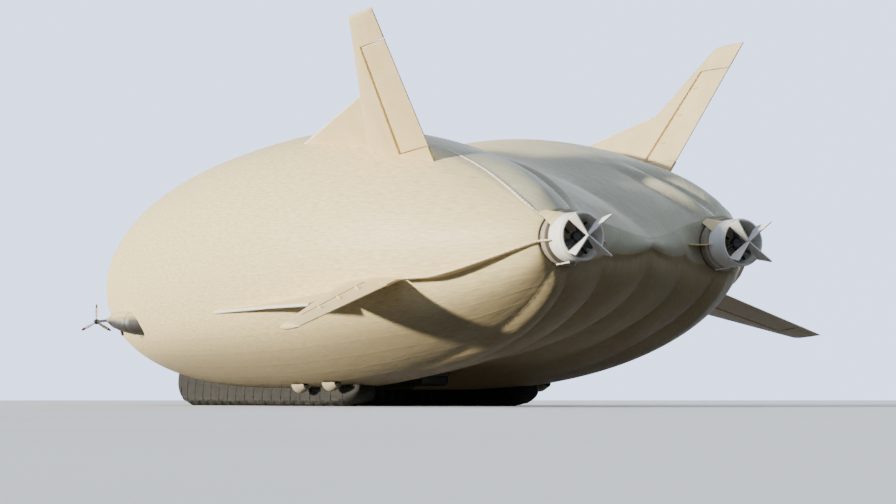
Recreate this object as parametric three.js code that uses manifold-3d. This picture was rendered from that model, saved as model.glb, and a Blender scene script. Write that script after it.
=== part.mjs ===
// A twin-lobed helium airship standing on its inflated landing skids, at one tenth of its real size.
// Frame: +Y runs from nose to stern, +X is the port side, +Z is up, and the floor is z = 0.
// Places and sizes are real metres times M, so one real metre is 100 mm here; tables hold real metres.
// The pieces are placed from a point between the two lobes, level with their centre lines.
import * as THREE from "three";
import { mergeVertices } from "three/addons/utils/BufferGeometryUtils.js";
import Module from "manifold-3d";

const wasm = await Module();
wasm.setup();

const M = 100;
const AXIS_HEIGHT = 12.0 * M;
const GAP = 0.3;
const PLAY = 5;
const SKIN = 10;

// The hull's two lobes: nose, widest station, end of the fabric at the tail cones.
const NOSE_Y = -46 * M;
const WIDEST_Y = 2.7 * M;
const TAIL_Y = 42.2 * M;
const VANE_TIP_Y = 46.4 * M;
const LOBE_RADIUS = 10.65 * M;
const TAIL_RADIUS = 1.9 * M;
const LOBE_X = { nose: 5.9 * M, widest: 6.75 * M, tail: 6.4 * M };
const LOBE_Z = { nose: -0.8 * M, tail: -0.64 * M };
const NOSE_POWER = 2.5;
// Exponents of the tail taper: the underside stays full the longest.
const TAPER = { side: 0.84, up: 0.85, down: 0.62, keel: 0.45 };
// The valley and the keel line between the lobes, as shares of the lobe's height.
const VALLEY_SHARE = 0.87;
const KEEL_SHARE = 0.86;
const TRAILING_EDGE = { top: -0.5 * M, bottom: -0.9 * M };
const NOSE_CLEFT = { depth: 3.2 * M, length: 12 * M };
const STERN_BOW = { depth: 0.9 * M, power: 8 };

// Creases where internal webs hold the fabric: the inner one's distance from the lobe's centre, the shares
// of its place at which two more run between the lobes, the angles of the outer ones on the lobe at its
// widest and at the tail, and how late they turn from the one to the other.
const CREASE = { inner: 1.25 * M, full: 5 * M, lowShare: 0.55, topShare: 0.8 };
const CREASE_ANGLE = { top: 77, bottom: -80, tailTop: 45, tailBottom: -66 };
const CREASE_TURN = { top: 8, bottom: 12 };
// The fabric swells out between creases: how far, and where that starts below and on top.
const SCALLOP = { depth: 0.5 * M, start: 16 * M, topStart: 28 * M, full: 38 * M };

// Rings of the skin from nose to tail.
const OUTER_STATIONS = [
  -46, -45.7, -45.1, -44, -42, -39, -35, -30, -24, -16, -6.5,
  2.7, 11, 18, 24, 29, 33, 36.5, 39.3, 41.2, 42.2,
];
const INNER_STATIONS = OUTER_STATIONS.slice(2, -1);
const LOBE_STEPS = 14;
const CROWN_STEPS = 4;
const ROUND_SIDES = 20;
const BALL_SIDES = 16;
const BALL_RINGS = 10;
const DUCT_SIDES = 32;

// Stern propulsors on the lobes' tails. Cone, duct and hub places run along Y.
const ENGINE = { x: LOBE_X.tail, z: LOBE_Z.tail };
const CONE = { seat: 42.2 * M, groove: 42.5 * M, shoulder: 42.75 * M, tip: 43.2 * M };
const CONE_RADIUS = { seat: 1.55 * M, shoulder: 1.86 * M, tip: 0.75 * M };
const STERN_DUCT = { start: 43.1 * M, end: 44.95 * M, outer: 1.66 * M, inner: 1.5 * M, lip: 0.15 * M };
const DUCT_TAPER = 0.04 * M;
const STERN_HUB = 0.42 * M;
const STRUTS = { count: 4, thickness: 0.12 * M, start: 43.35 * M, end: 43.7 * M, sunk: 0.3 };
const STERN_PROP = { y: 44.1 * M, radius: 1.42 * M, root: 0.3 * M };
const STERN_PROP_HUB = { radius: 0.4 * M, front: 0.27 * M, back: 0.3 * M };
const STERN_BLADE = { count: 3, chord: 0.5 * M, thick: 0.1 * M, pitch: 35 };
const STUB = { radius: 0.2 * M, front: 0.32 * M, back: 0.1 * M };
const VANES = { count: 4, thickness: 0.08 * M, first: 45 };
// Corners of a vane: reach from the axis and distance behind the duct.
const VANE_OUTLINE = [
  [0, 0.4],
  [1.1, 0],
  [1.66, 0],
  [2.0, 1.35],
  [1.94, 1.447],
  [0, 0.75],
];

// Front propulsors on the lobes' sides. Nacelle rings: centre x, y, z and radius.
const FRONT_HUB = { x: 16.6 * M, y: -28.5 * M, z: -4.1 * M };
const FRONT_SHAFT = { radius: 0.13 * M, tip: 0.05 * M };
const FRONT_PROP = { radius: 1.67 * M, hub: 0.25 * M, spinner: 0.45 * M, back: 0.27 * M, root: 0.18 * M };
const FRONT_BLADE = { count: 3, chord: 0.34 * M, thick: 0.09 * M, pitch: 30 };
const FRONT_NACELLE = [
  [16.6, -24.5, -4.1, 0.28],
  [16.4, -23.5, -4.16, 0.6],
  [15.9, -22.0, -4.3, 0.96],
  [15.1, -20.3, -4.45, 1.14],
  [13.7, -18.6, -4.5, 1.0],
];

// Fin planforms in a plane through the lobe's axis. Rows: reach, leading edge, trailing edge, thickness.
const FIN_AXIS = { x: 6.6 * M, z: -0.3 * M };
const FIN_ANGLE = { upper: 60.6, lower: -22.3 };
const FIN_ROWS = {
  upper: [
    [6.0, 19.0, 29.9, 1.4],
    [18.8, 28.0, 31.75, 0.5],
  ],
  lower: [
    [6.0, 20.4, 30.6, 1.4],
    [16.4, 29.7, 33.1, 0.5],
  ],
};
// The fins' section: share of the chord, share of the thickness.
const FIN_PROFILE = [
  [0, 0.12],
  [0.08, 0.62],
  [0.35, 1],
  [0.7, 0.72],
  [1, 0.14],
];
// Low plate ahead of each fin: length and reach of its corners.
const ROOT_PLATES = {
  upper: [
    [9.5, 9.6],
    [9.5, 10.35],
    [24.6, 13.1],
    [26.0, 8.0],
  ],
  lower: [
    [2.9, 9.8],
    [2.9, 10.75],
    [15.0, 10.9],
    [23.8, 11.3],
    [26.0, 8.0],
  ],
};
const ROOT_PLATE_THICKNESS = 0.3 * M;
// Control surfaces: inner and outer reach and the chord behind the hinge at each.
const SURFACES = {
  upper: { name: "rudder", from: 8.1, to: 16.4, rootChord: 3.5, tipChord: 3.15 },
  lower: { name: "elevator", from: 8.4, to: 14.6, rootChord: 3.0, tipChord: 2.4 },
};
const SURFACE_NOSE = { share: 0.45, width: 0.08, tail: 0.035 };
const SLOT = 0.07;
const PIN = { radius: 0.1 * M, sides: 12, reach: 0.4, root: 0.3 };

// Strakes, rows of x and y: plates from each lower fin to the duct, and from the duct to the trailing edge.
const STRAKE_THICKNESS = 0.14 * M;
const SIDE_STRAKE = [
  [12.0, 31.2],
  [13.7, 31.2],
  [12.2, 35.5],
  [10.5, 39.2],
  [8.4, 42.35],
  [8.05, 42.35],
  [8.6, 40.5],
];
const SIDE_STRAKE_Z = { front: -3.05 * M, back: -0.95 * M, from: 34 * M, to: 42.35 * M, power: 1.6 };
const INNER_STRAKE = [
  [3.0, 41.5],
  [5.2, 41.5],
  [4.8, 42.25],
  [4.45, 42.5],
  [4.45, 42.95],
  [3.9, 43.3],
  [3.0, 43.3],
];
const INNER_STRAKE_DROP = 0.2 * M;

// Landing skids and the valve scoops under the lobes.
const SKID = { x: 7.4 * M, start: -29 * M, end: 13 * M, width: 3.0 * M, sole: 1.5 * M, nose: 5 * M };
const SKID_RINGS = 15;
const SCOOPS = [
  { y: 4.9 * M, x: 9.7 * M },
  { y: 10.7 * M, x: 9.5 * M },
];
const SCOOP = { length: 2.7 * M, width: 1.2 * M, depth: 0.75 * M, wall: 0.1 * M, lip: 0.1 * M };
const SCOOP_PORT = { radius: 0.3 * M, length: 2 * M };

// The gondola under the keel. The cabin's roof falls from its front to its back, close under the hull.
const CABIN = { x: 1.55 * M, front: -27.3 * M, back: -16.7 * M, floor: -10.5 * M, wall: 0.12 * M };
const CABIN_EDGE = { rise: 0.35 * M, share: 0.82, ahead: 0.2 };
const CABIN_ROOF = { front: -8.45 * M, back: -9.17 * M };
// Rings of the cabin: distance behind the front, how far the middle is ahead, floor rise, share of width.
const CABIN_RINGS = [
  [0, 1.1, 1.0, 0.7],
  [0.5, 0.8, 0.62, 0.93],
  [2.0, 0.2, 0.08, 1],
  [3.0, 0, 0, 1],
];
const WINDOW_HEAD = 0.2 * M;
const WINDOW_SILL = -9.72 * M;
const COCKPIT_WINDOW = { front: -24.2 * M, width: 1.4 * M };
// Rows of cabin windows: side, place of the first, how many.
const WINDOW_ROWS = [
  { side: 1, front: -21.75 * M, count: 6 },
  { side: -1, front: -21.0 * M, count: 5 },
];
const WINDOW = { width: 0.6 * M, pitch: 0.78 * M };
const WINDSCREEN = { width: 1.9 * M, low: -9.35 * M, high: -8.65 * M, depth: 2.5 * M };
const DOOR = { front: -22.5 * M, width: 1.05 * M, low: -10.35 * M, head: 0.1 * M };
const GLASS = { thickness: 0.04 * M, lap: 0.1 * M };
const SCREEN_SET_BACK = 0.6;
const PYLON = { low: -9.4 * M, high: -7.4 * M };
const BEAM = { x: 0.95 * M, front: -16.6 * M, back: 10.4 * M, low: -9.5 * M, high: -7.5 * M };
// Modules under the beam: front, back, half width, underside.
const MODULES = [
  { name: "mission_module", front: -16.55, back: -6.5, half: 1.5, low: -10.5 },
  { name: "fuel_module", front: -5.4, back: 3.6, half: 1.5, low: -10.6 },
  { name: "rear_module", front: 4.6, back: 10.2, half: 1.25, low: -10.35 },
];
const MODULE_EDGE = { bevel: 0.3 * M, inset: 0.15 * M, share: 0.75 };
// Sensor domes: place, radius, depth below what carries them.
const DOMES = [
  { name: "belly_dome_1", y: -21.8, radius: 0.24, depth: 0.36, under: CABIN.floor },
  { name: "belly_dome_2", y: -17.1, radius: 0.26, depth: 0.8, under: CABIN.floor },
  { name: "belly_dome_3", y: -10.5, radius: 0.26, depth: 0.86, under: MODULES[0].low * M },
];
const DOME_NECK = 0.8;

const COLOURS = {
  skin: [0xd9cdb2, 0.62, 0.0],
  skid: [0x9d9788, 0.7, 0.0],
  fin: [0xe4dac4, 0.55, 0.0],
  duct: [0xefeae0, 0.45, 0.0],
  cone: [0x6f6557, 0.6, 0.0],
  blade: [0x2c2c2e, 0.5, 0.1],
  cabin: [0x3a3c40, 0.5, 0.1],
  glass: [0x1b2228, 0.1, 0.0],
  metal: [0x55585c, 0.4, 0.8],
};

const smooth = (u) => u * u * (3 - 2 * u);
const clamp01 = (u) => Math.min(1, Math.max(0, u));
const mix = (a, b, t) => a + (b - a) * t;
const radians = THREE.MathUtils.degToRad;

// Solids from closed geometry, and back again
function solid(geometry) {
  const bare = geometry.clone();
  for (const name of Object.keys(bare.attributes)) if (name !== "position") bare.deleteAttribute(name);
  const merged = mergeVertices(bare, 1e-3);
  return new wasm.Manifold(
    new wasm.Mesh({
      numProp: 3,
      vertProperties: Float32Array.from(merged.attributes.position.array),
      triVerts: Uint32Array.from(merged.index.array),
    }),
  );
}

function geometryOf(made) {
  const mesh = made.getMesh();
  const geometry = new THREE.BufferGeometry();
  geometry.setAttribute("position", new THREE.BufferAttribute(Float32Array.from(mesh.vertProperties), 3));
  geometry.setIndex(new THREE.BufferAttribute(Uint32Array.from(mesh.triVerts), 1));
  geometry.computeVertexNormals();
  return geometry;
}

const airship = new THREE.Group();
airship.position.set(0, -(NOSE_Y + VANE_TIP_Y) / 2, AXIS_HEIGHT);

function add(name, kind, made) {
  const [color, roughness, metalness] = COLOURS[kind];
  const material = new THREE.MeshStandardMaterial({ color, roughness, metalness });
  const mesh = new THREE.Mesh(geometryOf(made), material);
  mesh.name = name;
  airship.add(mesh);
}

function addPair(name, kind, made) {
  add(name + "_port", kind, made);
  add(name + "_starboard", kind, made.mirror([1, 0, 0]));
}

// A closed loft through rings of equal count, each a list of [x, y, z]; strips or fans close both ends.
// Strips join a ring's two halves, so a mirrored ring gets mirrored faces.
function loft(rings, closeEnds = "fan") {
  const n = rings[0].length;
  const index = [];
  for (let r = 0; r + 1 < rings.length; r += 1)
    for (let i = 0; i < n; i += 1) {
      const a = r * n + i;
      const b = r * n + ((i + 1) % n);
      if (closeEnds === "strip" && i >= n / 2) index.push(a, b, a + n, b, b + n, a + n);
      else index.push(a, b, b + n, a, b + n, a + n);
    }
  for (const [first, flip] of [
    [0, true],
    [(rings.length - 1) * n, false],
  ])
    for (const [p, q, s] of capFaces(n, closeEnds))
      index.push(first + p, first + (flip ? s : q), first + (flip ? q : s));
  const geometry = new THREE.BufferGeometry();
  geometry.setAttribute("position", new THREE.Float32BufferAttribute(rings.flat(2), 3));
  geometry.setIndex(index);
  const made = solid(geometry);
  if (made.volume() > 0) return made;
  geometry.setIndex(index.map((_, i) => index[i - (i % 3) + [0, 2, 1][i % 3]]));
  return solid(geometry);
}

function capFaces(n, closeEnds) {
  const cap = [];
  if (closeEnds === "fan") for (let i = 1; i + 1 < n; i += 1) cap.push([0, i, i + 1]);
  else
    for (let i = 0; i < n / 4; i += 1) {
      const top = n / 2 - i;
      const across = [i, i + 1, top - 1, top];
      const [p, q, r, s] = across.map((k) => (n - k) % n);
      cap.push([across[0], across[2], across[3]], [p, s, r]);
      if (q !== r) cap.push([across[0], across[1], across[2]], [p, r, q]);
    }
  return cap;
}

// A solid of revolution about a line along Y: profile rows are [radius, y].
function turned(profile, x, z, sides) {
  const points = profile.map(([radius, y]) => new THREE.Vector2(radius, y));
  const made = solid(new THREE.LatheGeometry(points, sides).translate(x, 0, z));
  if (made.volume() > 0) return made;
  return solid(new THREE.LatheGeometry(points.reverse(), sides).translate(x, 0, z));
}

// A block between two corners.
function block(x0, x1, y0, y1, z0, z1) {
  const box = new THREE.BoxGeometry(Math.abs(x1 - x0), Math.abs(y1 - y0), Math.abs(z1 - z0));
  return solid(box.translate((x0 + x1) / 2, (y0 + y1) / 2, (z0 + z1) / 2));
}

function largest(made) {
  return made.decompose().sort((a, b) => b.volume() - a.volume())[0];
}

// A flat plate of [x, y] corners in real metres, from z = low up to low + thickness.
function plate(corners, thickness, low) {
  const shape = new THREE.Shape(corners.map(([x, y]) => new THREE.Vector2(x * M, y * M)));
  const geometry = new THREE.ExtrudeGeometry(shape, { depth: thickness, bevelEnabled: false });
  return solid(geometry.translate(0, 0, low));
}

// The hull's measures at one station.
function hullAt(y) {
  if (y < WIDEST_Y) {
    const d = clamp01((WIDEST_Y - y) / (WIDEST_Y - NOSE_Y));
    const radius = LOBE_RADIUS * Math.sqrt(Math.max(1 - d ** NOSE_POWER, 1e-4));
    const z = LOBE_Z.nose * d * d;
    return {
      x: mix(LOBE_X.widest, LOBE_X.nose, d * d),
      z,
      side: radius,
      up: radius,
      down: radius,
      top: z + VALLEY_SHARE * radius,
      bottom: z - KEEL_SHARE * radius,
      s: 0,
    };
  }
  const s = clamp01((y - WIDEST_Y) / (TAIL_Y - WIDEST_Y));
  const left = 1 - s * s;
  const reach = (power) => TAIL_RADIUS + (LOBE_RADIUS - TAIL_RADIUS) * left ** power;
  const z = LOBE_Z.tail * s ** 1.5;
  return {
    x: mix(LOBE_X.widest, LOBE_X.tail, s ** 1.5),
    z,
    side: reach(TAPER.side),
    up: reach(TAPER.up),
    down: reach(TAPER.down),
    top: mix(TRAILING_EDGE.top, VALLEY_SHARE * LOBE_RADIUS, left ** TAPER.up),
    bottom: mix(TRAILING_EDGE.bottom, -KEEL_SHARE * LOBE_RADIUS, left ** TAPER.keel),
    s,
  };
}

// Height of the section over x, upper or lower surface, before the scallops.
function surfaceZ(hull, x, upper) {
  const reach = upper ? hull.up : -hull.down;
  if (x >= hull.x) {
    const u = Math.min(1, (x - hull.x) / hull.side);
    return hull.z + reach * Math.sqrt(1 - u * u);
  }
  return mix(upper ? hull.top : hull.bottom, hull.z + reach, smooth(clamp01(x / hull.x)));
}

// Half of a section from the keel round the lobe to the valley, as [x, z], moved out by grow.
function halfSection(y, grow) {
  const hull = hullAt(y);
  const swell = (start) => SCALLOP.depth * smooth(clamp01((y - start) / (SCALLOP.full - start)));
  const low = radians(mix(CREASE_ANGLE.bottom, CREASE_ANGLE.tailBottom, hull.s ** CREASE_TURN.bottom));
  const high = radians(mix(CREASE_ANGLE.top, CREASE_ANGLE.tailTop, hull.s ** CREASE_TURN.top));
  const inner = hull.x - CREASE.inner * Math.min(1, hull.side / CREASE.full);
  const onLobe = (angle) => [
    hull.x + hull.side * Math.cos(angle),
    hull.z + (angle < 0 ? hull.down : hull.up) * Math.sin(angle),
  ];
  const points = [];
  const spans = (breaks, steps, out, upper) => {
    for (let b = 0; b + 1 < breaks.length; b += 1)
      for (let i = 0; i < steps[b]; i += 1) {
        const u = i / steps[b];
        const x = mix(breaks[b], breaks[b + 1], u);
        points.push([x, surfaceZ(hull, x, upper) + out * 4 * u * (1 - u)]);
      }
  };
  const below = [0, inner * CREASE.lowShare, inner, onLobe(low)[0]];
  const above = [onLobe(high)[0], inner, inner * CREASE.topShare, 0];
  spans(below, [2, 2, 2], -swell(SCALLOP.start), false);
  for (let i = 0; i < LOBE_STEPS; i += 1) points.push(onLobe(mix(low, high, i / LOBE_STEPS)));
  spans(above, [2, 2, CROWN_STEPS], swell(SCALLOP.topStart), true);
  points.push([0, surfaceZ(hull, 0, true)]);
  if (!grow) return points;
  return points.map(([x, z], i) => {
    const before = points[Math.max(0, i - 1)];
    const after = points[Math.min(points.length - 1, i + 1)];
    const ends = i === 0 || i === points.length - 1;
    const tx = ends ? (i === 0 ? 1 : -1) : after[0] - before[0];
    const tz = ends ? 0 : after[1] - before[1];
    const length = Math.hypot(tx, tz);
    return [x + (tz / length) * grow, z - (tx / length) * grow];
  });
}

// The whole ring at a station: the nose is cleft and the stern bowed between the lobes.
function ring(y, grow) {
  const hull = hullAt(y);
  const half = halfSection(y, grow);
  const nose = NOSE_CLEFT.depth * clamp01(1 - (y - NOSE_Y) / NOSE_CLEFT.length) ** 2;
  const shift = nose + STERN_BOW.depth * hull.s ** STERN_BOW.power;
  const between = hull.x - TAIL_RADIUS;
  const port = half.map(([x, z]) => [x, y + shift * (1 - smooth(clamp01(x / between))), z]);
  const starboard = port.slice(1, -1).reverse();
  return [...port, ...starboard.map(([x, py, z]) => [-x, py, z])];
}

const hullSolid = (stations, grow) => loft(stations.map((y) => ring(y * M, grow)), "strip");

// The hull a little larger all round, which cuts the pieces that sit on it
function makeSeat() {
  const grown = hullSolid(OUTER_STATIONS, 2 * GAP);
  return grown.add(grown.translate([0, GAP, 0])).add(grown.translate([0, -GAP, 0]));
}
const hullSeat = makeSeat();

// The port half of the skin, up to the middle web, with round ports under its valve scoops
function makeEnvelope() {
  const wide = 2 * (LOBE_X.widest + LOBE_RADIUS);
  let shell = hullSolid(OUTER_STATIONS, 0).subtract(hullSolid(INNER_STATIONS, -SKIN));
  shell = shell.subtract(block(-wide, GAP / 2, NOSE_Y - M, VANE_TIP_Y, -wide, wide));
  for (const { x, y } of SCOOPS) {
    const { radius, length } = SCOOP_PORT;
    const port = new THREE.CylinderGeometry(radius, radius, length, ROUND_SIDES).rotateX(Math.PI / 2);
    shell = shell.subtract(solid(port.translate(x, y, surfaceZ(hullAt(y), x, false))));
  }
  return shell;
}
addPair("envelope", "skin", makeEnvelope());

// Landing skids, inflated: long cushions with a flat sole and rounded ends
function makeSkid() {
  const rings = [];
  for (let i = 0; i < SKID_RINGS; i += 1) {
    const y = mix(SKID.start, SKID.end, i / (SKID_RINGS - 1));
    const near = clamp01(Math.min(y - SKID.start, SKID.end - y) / SKID.nose);
    const swell = mix(0.2, 1, Math.sqrt(1 - (1 - near) ** 2));
    const roof = surfaceZ(hullAt(y), SKID.x, false);
    const low = mix(roof, -AXIS_HEIGHT, swell);
    const half = (SKID.width / 2) * mix(0.3, 1, swell);
    const sole = Math.min(SKID.sole / 2, half / 2);
    const side = [
      [sole, low],
      [half * 0.82, mix(low, roof, 0.16)],
      [half, mix(low, roof, 0.5)],
      [half * 0.94, roof + 0.25 * M],
      [half * 0.6, roof + M],
    ];
    const far = [...side].reverse().map(([x, z]) => [-x, z]);
    rings.push([...side, ...far].map(([x, z]) => [SKID.x + x, y, z]));
  }
  return loft(rings).subtract(hullSeat);
}
addPair("landing_skid", "skid", makeSkid());

// Valve scoops: half-egg hoods over the ports, open at their aft end
SCOOPS.forEach(({ x, y }, i) => {
  const z = surfaceZ(hullAt(y), x, false);
  const egg = (wall) =>
    solid(
      new THREE.SphereGeometry(1, BALL_SIDES, BALL_RINGS)
        .scale(SCOOP.width / 2 - wall, SCOOP.length / 2 - wall, SCOOP.depth - wall)
        .translate(x, y, z),
    );
  const aft = y + SCOOP.length / 2;
  const mouth = block(x - M, x + M, aft - M / 2, aft + M, z - 2 * M, z - SCOOP.lip);
  const hood = egg(0).subtract(egg(SCOOP.wall)).subtract(mouth).subtract(hullSeat);
  addPair("valve_scoop_" + (i + 1), "duct", largest(hood));
});

// Fins: built in a plane of reach (x) and length (y), then turned about the lobe's axis
function mirroredSection(reach, points) {
  const upper = points.map(([y, half]) => [reach * M, y * M, half * M]);
  const lower = points.map(([y, half]) => [reach * M, y * M, -half * M]).reverse();
  return [...upper, ...lower];
}

function finSection(reach, lead, trail, thick) {
  return mirroredSection(
    reach,
    FIN_PROFILE.map(([c, t]) => [mix(lead, trail, c), (t * thick) / 2]),
  );
}

function profileAt(c) {
  const k = FIN_PROFILE.findIndex(([at]) => at >= c);
  const [a, b] = [FIN_PROFILE[k - 1], FIN_PROFILE[k]];
  return mix(a[1], b[1], (c - a[0]) / (b[0] - a[0]));
}

function turnFin(made, kind) {
  return made.rotate([0, -FIN_ANGLE[kind], 0]).translate([FIN_AXIS.x, 0, FIN_AXIS.z]);
}

// The hinge of a control surface at one reach: its place along Y, the trailing edge and the thickness.
function hingeAt(kind, reach) {
  const surface = SURFACES[kind];
  const [a, b] = FIN_ROWS[kind];
  const t = (reach - a[0]) / (b[0] - a[0]);
  const [lead, trail, thick] = [1, 2, 3].map((k) => mix(a[k], b[k], t));
  const along = (reach - surface.from) / (surface.to - surface.from);
  const chord = mix(surface.rootChord, surface.tipChord, along);
  const y = trail - chord;
  return { y, trail, thick: thick * profileAt((y - lead) / (trail - lead)) };
}

// A rod along the hinge line between two reaches.
function hingeRod(kind, from, to, radius) {
  const start = new THREE.Vector3(from * M, hingeAt(kind, from).y * M, 0);
  const end = new THREE.Vector3(to * M, hingeAt(kind, to).y * M, 0);
  const circle = new THREE.Shape(
    Array.from({ length: PIN.sides }, (_, k) => {
      const a = (2 * Math.PI * k) / PIN.sides;
      return new THREE.Vector2(radius * Math.cos(a), radius * Math.sin(a));
    }),
  );
  const line = new THREE.LineCurve3(start, end);
  return solid(new THREE.ExtrudeGeometry(circle, { steps: 1, extrudePath: line }));
}

function surfaceSection(kind, reach) {
  const { y, trail, thick } = hingeAt(kind, reach);
  return mirroredSection(reach, [
    [y - SURFACE_NOSE.share * thick, SURFACE_NOSE.width * thick],
    [y, thick / 2],
    [trail, SURFACE_NOSE.tail],
  ]);
}

// A fin with its root plate and its hinge pins, notched for its control surface.
function makeFin(kind) {
  const { from, to } = SURFACES[kind];
  const front = (reach) => {
    const { y, thick } = hingeAt(kind, reach);
    return y - SURFACE_NOSE.share * thick - SLOT;
  };
  const behind = VANE_TIP_Y / M;
  const notch = plate(
    [
      [from - SLOT, front(from)],
      [to + SLOT, front(to)],
      [to + SLOT, behind],
      [from - SLOT, behind],
    ],
    4 * M,
    -2 * M,
  );
  const corners = ROOT_PLATES[kind].map(([y, reach]) => [reach, y]);
  const rootPlate = plate(corners, ROOT_PLATE_THICKNESS, -ROOT_PLATE_THICKNESS / 2);
  const pinned = loft(FIN_ROWS[kind].map((row) => finSection(...row)))
    .add(rootPlate)
    .subtract(notch)
    .add(hingeRod(kind, from - SLOT - PIN.root, from + PIN.reach, PIN.radius))
    .add(hingeRod(kind, to - PIN.reach, to + SLOT + PIN.root, PIN.radius));
  return largest(turnFin(pinned, kind).subtract(hullSeat));
}

// A rudder or an elevator, with sockets for the fin's pins.
function makeSurface(kind) {
  const { from, to } = SURFACES[kind];
  const socket = (PIN.radius + GAP) / Math.cos(Math.PI / PIN.sides);
  const depth = PIN.reach + SLOT;
  const moving = loft([surfaceSection(kind, from), surfaceSection(kind, to)])
    .subtract(hingeRod(kind, from - SLOT, from + depth, socket))
    .subtract(hingeRod(kind, to - depth, to + SLOT, socket));
  return turnFin(moving, kind);
}

for (const kind of ["upper", "lower"]) {
  addPair(kind + "_fin", "fin", makeFin(kind));
  addPair(SURFACES[kind].name, "fin", makeSurface(kind));
}

// Blades of one propeller about a line along Y: chord and thickness change along the reach.
function blades({ count, chord, thick, pitch }, root, radius) {
  const rows = [
    [root, 0.7],
    [radius * 0.55, 1],
    [radius, 0.45],
  ];
  const corners = [
    [-0.5, 0],
    [0, 0.5],
    [0.5, 0],
    [0, -0.5],
  ];
  const section = ([reach, share]) => corners.map(([c, t]) => [c * chord * share, t * thick * share, reach]);
  const blade = loft(rows.map(section)).rotate([0, 0, pitch]);
  let made = blade;
  for (let i = 1; i < count; i += 1) made = made.add(blade.rotate([0, (360 * i) / count, 0]));
  return made;
}

// A hole along Y that a round shaft runs in.
function bore(radius, x, z, from, to) {
  const wall = (radius + GAP) / Math.cos(Math.PI / ROUND_SIDES);
  const profile = [
    [0, from],
    [wall, from],
    [wall, to],
    [0, to],
  ];
  return turned(profile, x, z, ROUND_SIDES);
}

// Stern propulsors: a cone on each lobe's tail carries the hub, and struts to the hub carry the duct
function makeTailCone() {
  const face = STERN_PROP.y - STUB.front;
  const profile = [
    [0, CONE.seat + GAP],
    [CONE_RADIUS.seat, CONE.seat + GAP],
    [CONE_RADIUS.seat, CONE.groove],
    [CONE_RADIUS.shoulder, CONE.groove],
    [CONE_RADIUS.shoulder, CONE.shoulder],
    [CONE_RADIUS.tip, CONE.tip],
    [STERN_HUB, CONE.tip],
    [STERN_HUB, face],
    [STUB.radius, face],
    [STUB.radius, STERN_PROP.y + STUB.back],
    [0, STERN_PROP.y + STUB.back],
  ];
  return turned(profile, 0, 0, DUCT_SIDES);
}

function makeSternDuct() {
  const { start, end, outer, inner, lip } = STERN_DUCT;
  const profile = [
    [inner, start + lip],
    [mix(inner, outer, 0.5), start],
    [outer, start + lip],
    [outer - DUCT_TAPER, end],
    [inner, end],
    [inner, start + lip],
  ];
  let duct = turned(profile, 0, 0, DUCT_SIDES);
  const { count, thickness, sunk } = STRUTS;
  const strut = block(0, mix(inner, outer, sunk), STRUTS.start, STRUTS.end, -thickness / 2, thickness / 2);
  const turn = 360 / count;
  for (let i = 0; i < count; i += 1) duct = duct.add(strut.rotate([0, turn * (i + 0.5), 0]));
  return duct.subtract(bore(STERN_HUB, 0, 0, start, end));
}

function makeSternPropeller() {
  const { y, radius, root } = STERN_PROP;
  const hub = STERN_PROP_HUB;
  const profile = [
    [0, y - hub.front],
    [hub.radius, y - hub.front],
    [hub.radius, y + hub.back / 2],
    [0, y + hub.back],
  ];
  return turned(profile, 0, 0, ROUND_SIDES)
    .add(blades(STERN_BLADE, root, radius).translate([0, y, 0]))
    .subtract(bore(STUB.radius, 0, 0, y - STUB.front, y + STUB.back + PLAY));
}

// Swept vanes in a cross: they stand on the duct's rim and join on its axis
function makeVanes() {
  const { count, thickness, first } = VANES;
  const vane = plate(VANE_OUTLINE, thickness, -thickness / 2)
    .translate([0, STERN_DUCT.end + GAP, 0])
    .rotate([0, first, 0]);
  let made = vane;
  for (let i = 1; i < count; i += 1) made = made.add(vane.rotate([0, (360 * i) / count, 0]));
  return made;
}

for (const [name, kind, made] of [
  ["tail_cone", "cone", makeTailCone()],
  ["stern_duct", "duct", makeSternDuct()],
  ["stern_propeller", "blade", makeSternPropeller()],
  ["vane_set", "duct", makeVanes()],
])
  addPair(name, kind, made.translate([ENGINE.x, 0, ENGINE.z]));

// Front propulsors: a nacelle faired into each lobe's side, its shaft and an open propeller
function makeFrontNacelle() {
  const rings = FRONT_NACELLE.map(([x, y, z, radius]) =>
    Array.from({ length: ROUND_SIDES }, (_, k) => {
      const a = (2 * Math.PI * k) / ROUND_SIDES;
      return [x + radius * Math.cos(a), y, z + radius * Math.sin(a)].map((v) => v * M);
    }),
  );
  return largest(loft(rings).subtract(hullSeat));
}

function makeFrontShaft() {
  const { x, y, z } = FRONT_HUB;
  const from = y - FRONT_SHAFT.tip;
  const to = FRONT_NACELLE[0][1] * M - GAP;
  const profile = [
    [0, from],
    [FRONT_SHAFT.radius, from],
    [FRONT_SHAFT.radius, to],
    [0, to],
  ];
  return turned(profile, x, z, ROUND_SIDES);
}

function makeFrontPropeller() {
  const { x, y, z } = FRONT_HUB;
  const { radius, hub, spinner, back, root } = FRONT_PROP;
  const profile = [
    [0, y - spinner],
    [hub * 0.65, y - spinner * 0.67],
    [hub, y],
    [hub, y + back],
    [0, y + back],
  ];
  return turned(profile, x, z, ROUND_SIDES)
    .add(blades(FRONT_BLADE, root, radius).translate([x, y, z]))
    .subtract(bore(FRONT_SHAFT.radius, x, z, y - FRONT_SHAFT.tip - PLAY, y + 2 * back));
}

addPair("front_nacelle", "skin", makeFrontNacelle());
addPair("front_shaft", "metal", makeFrontShaft());
addPair("front_propeller", "blade", makeFrontPropeller());

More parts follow.
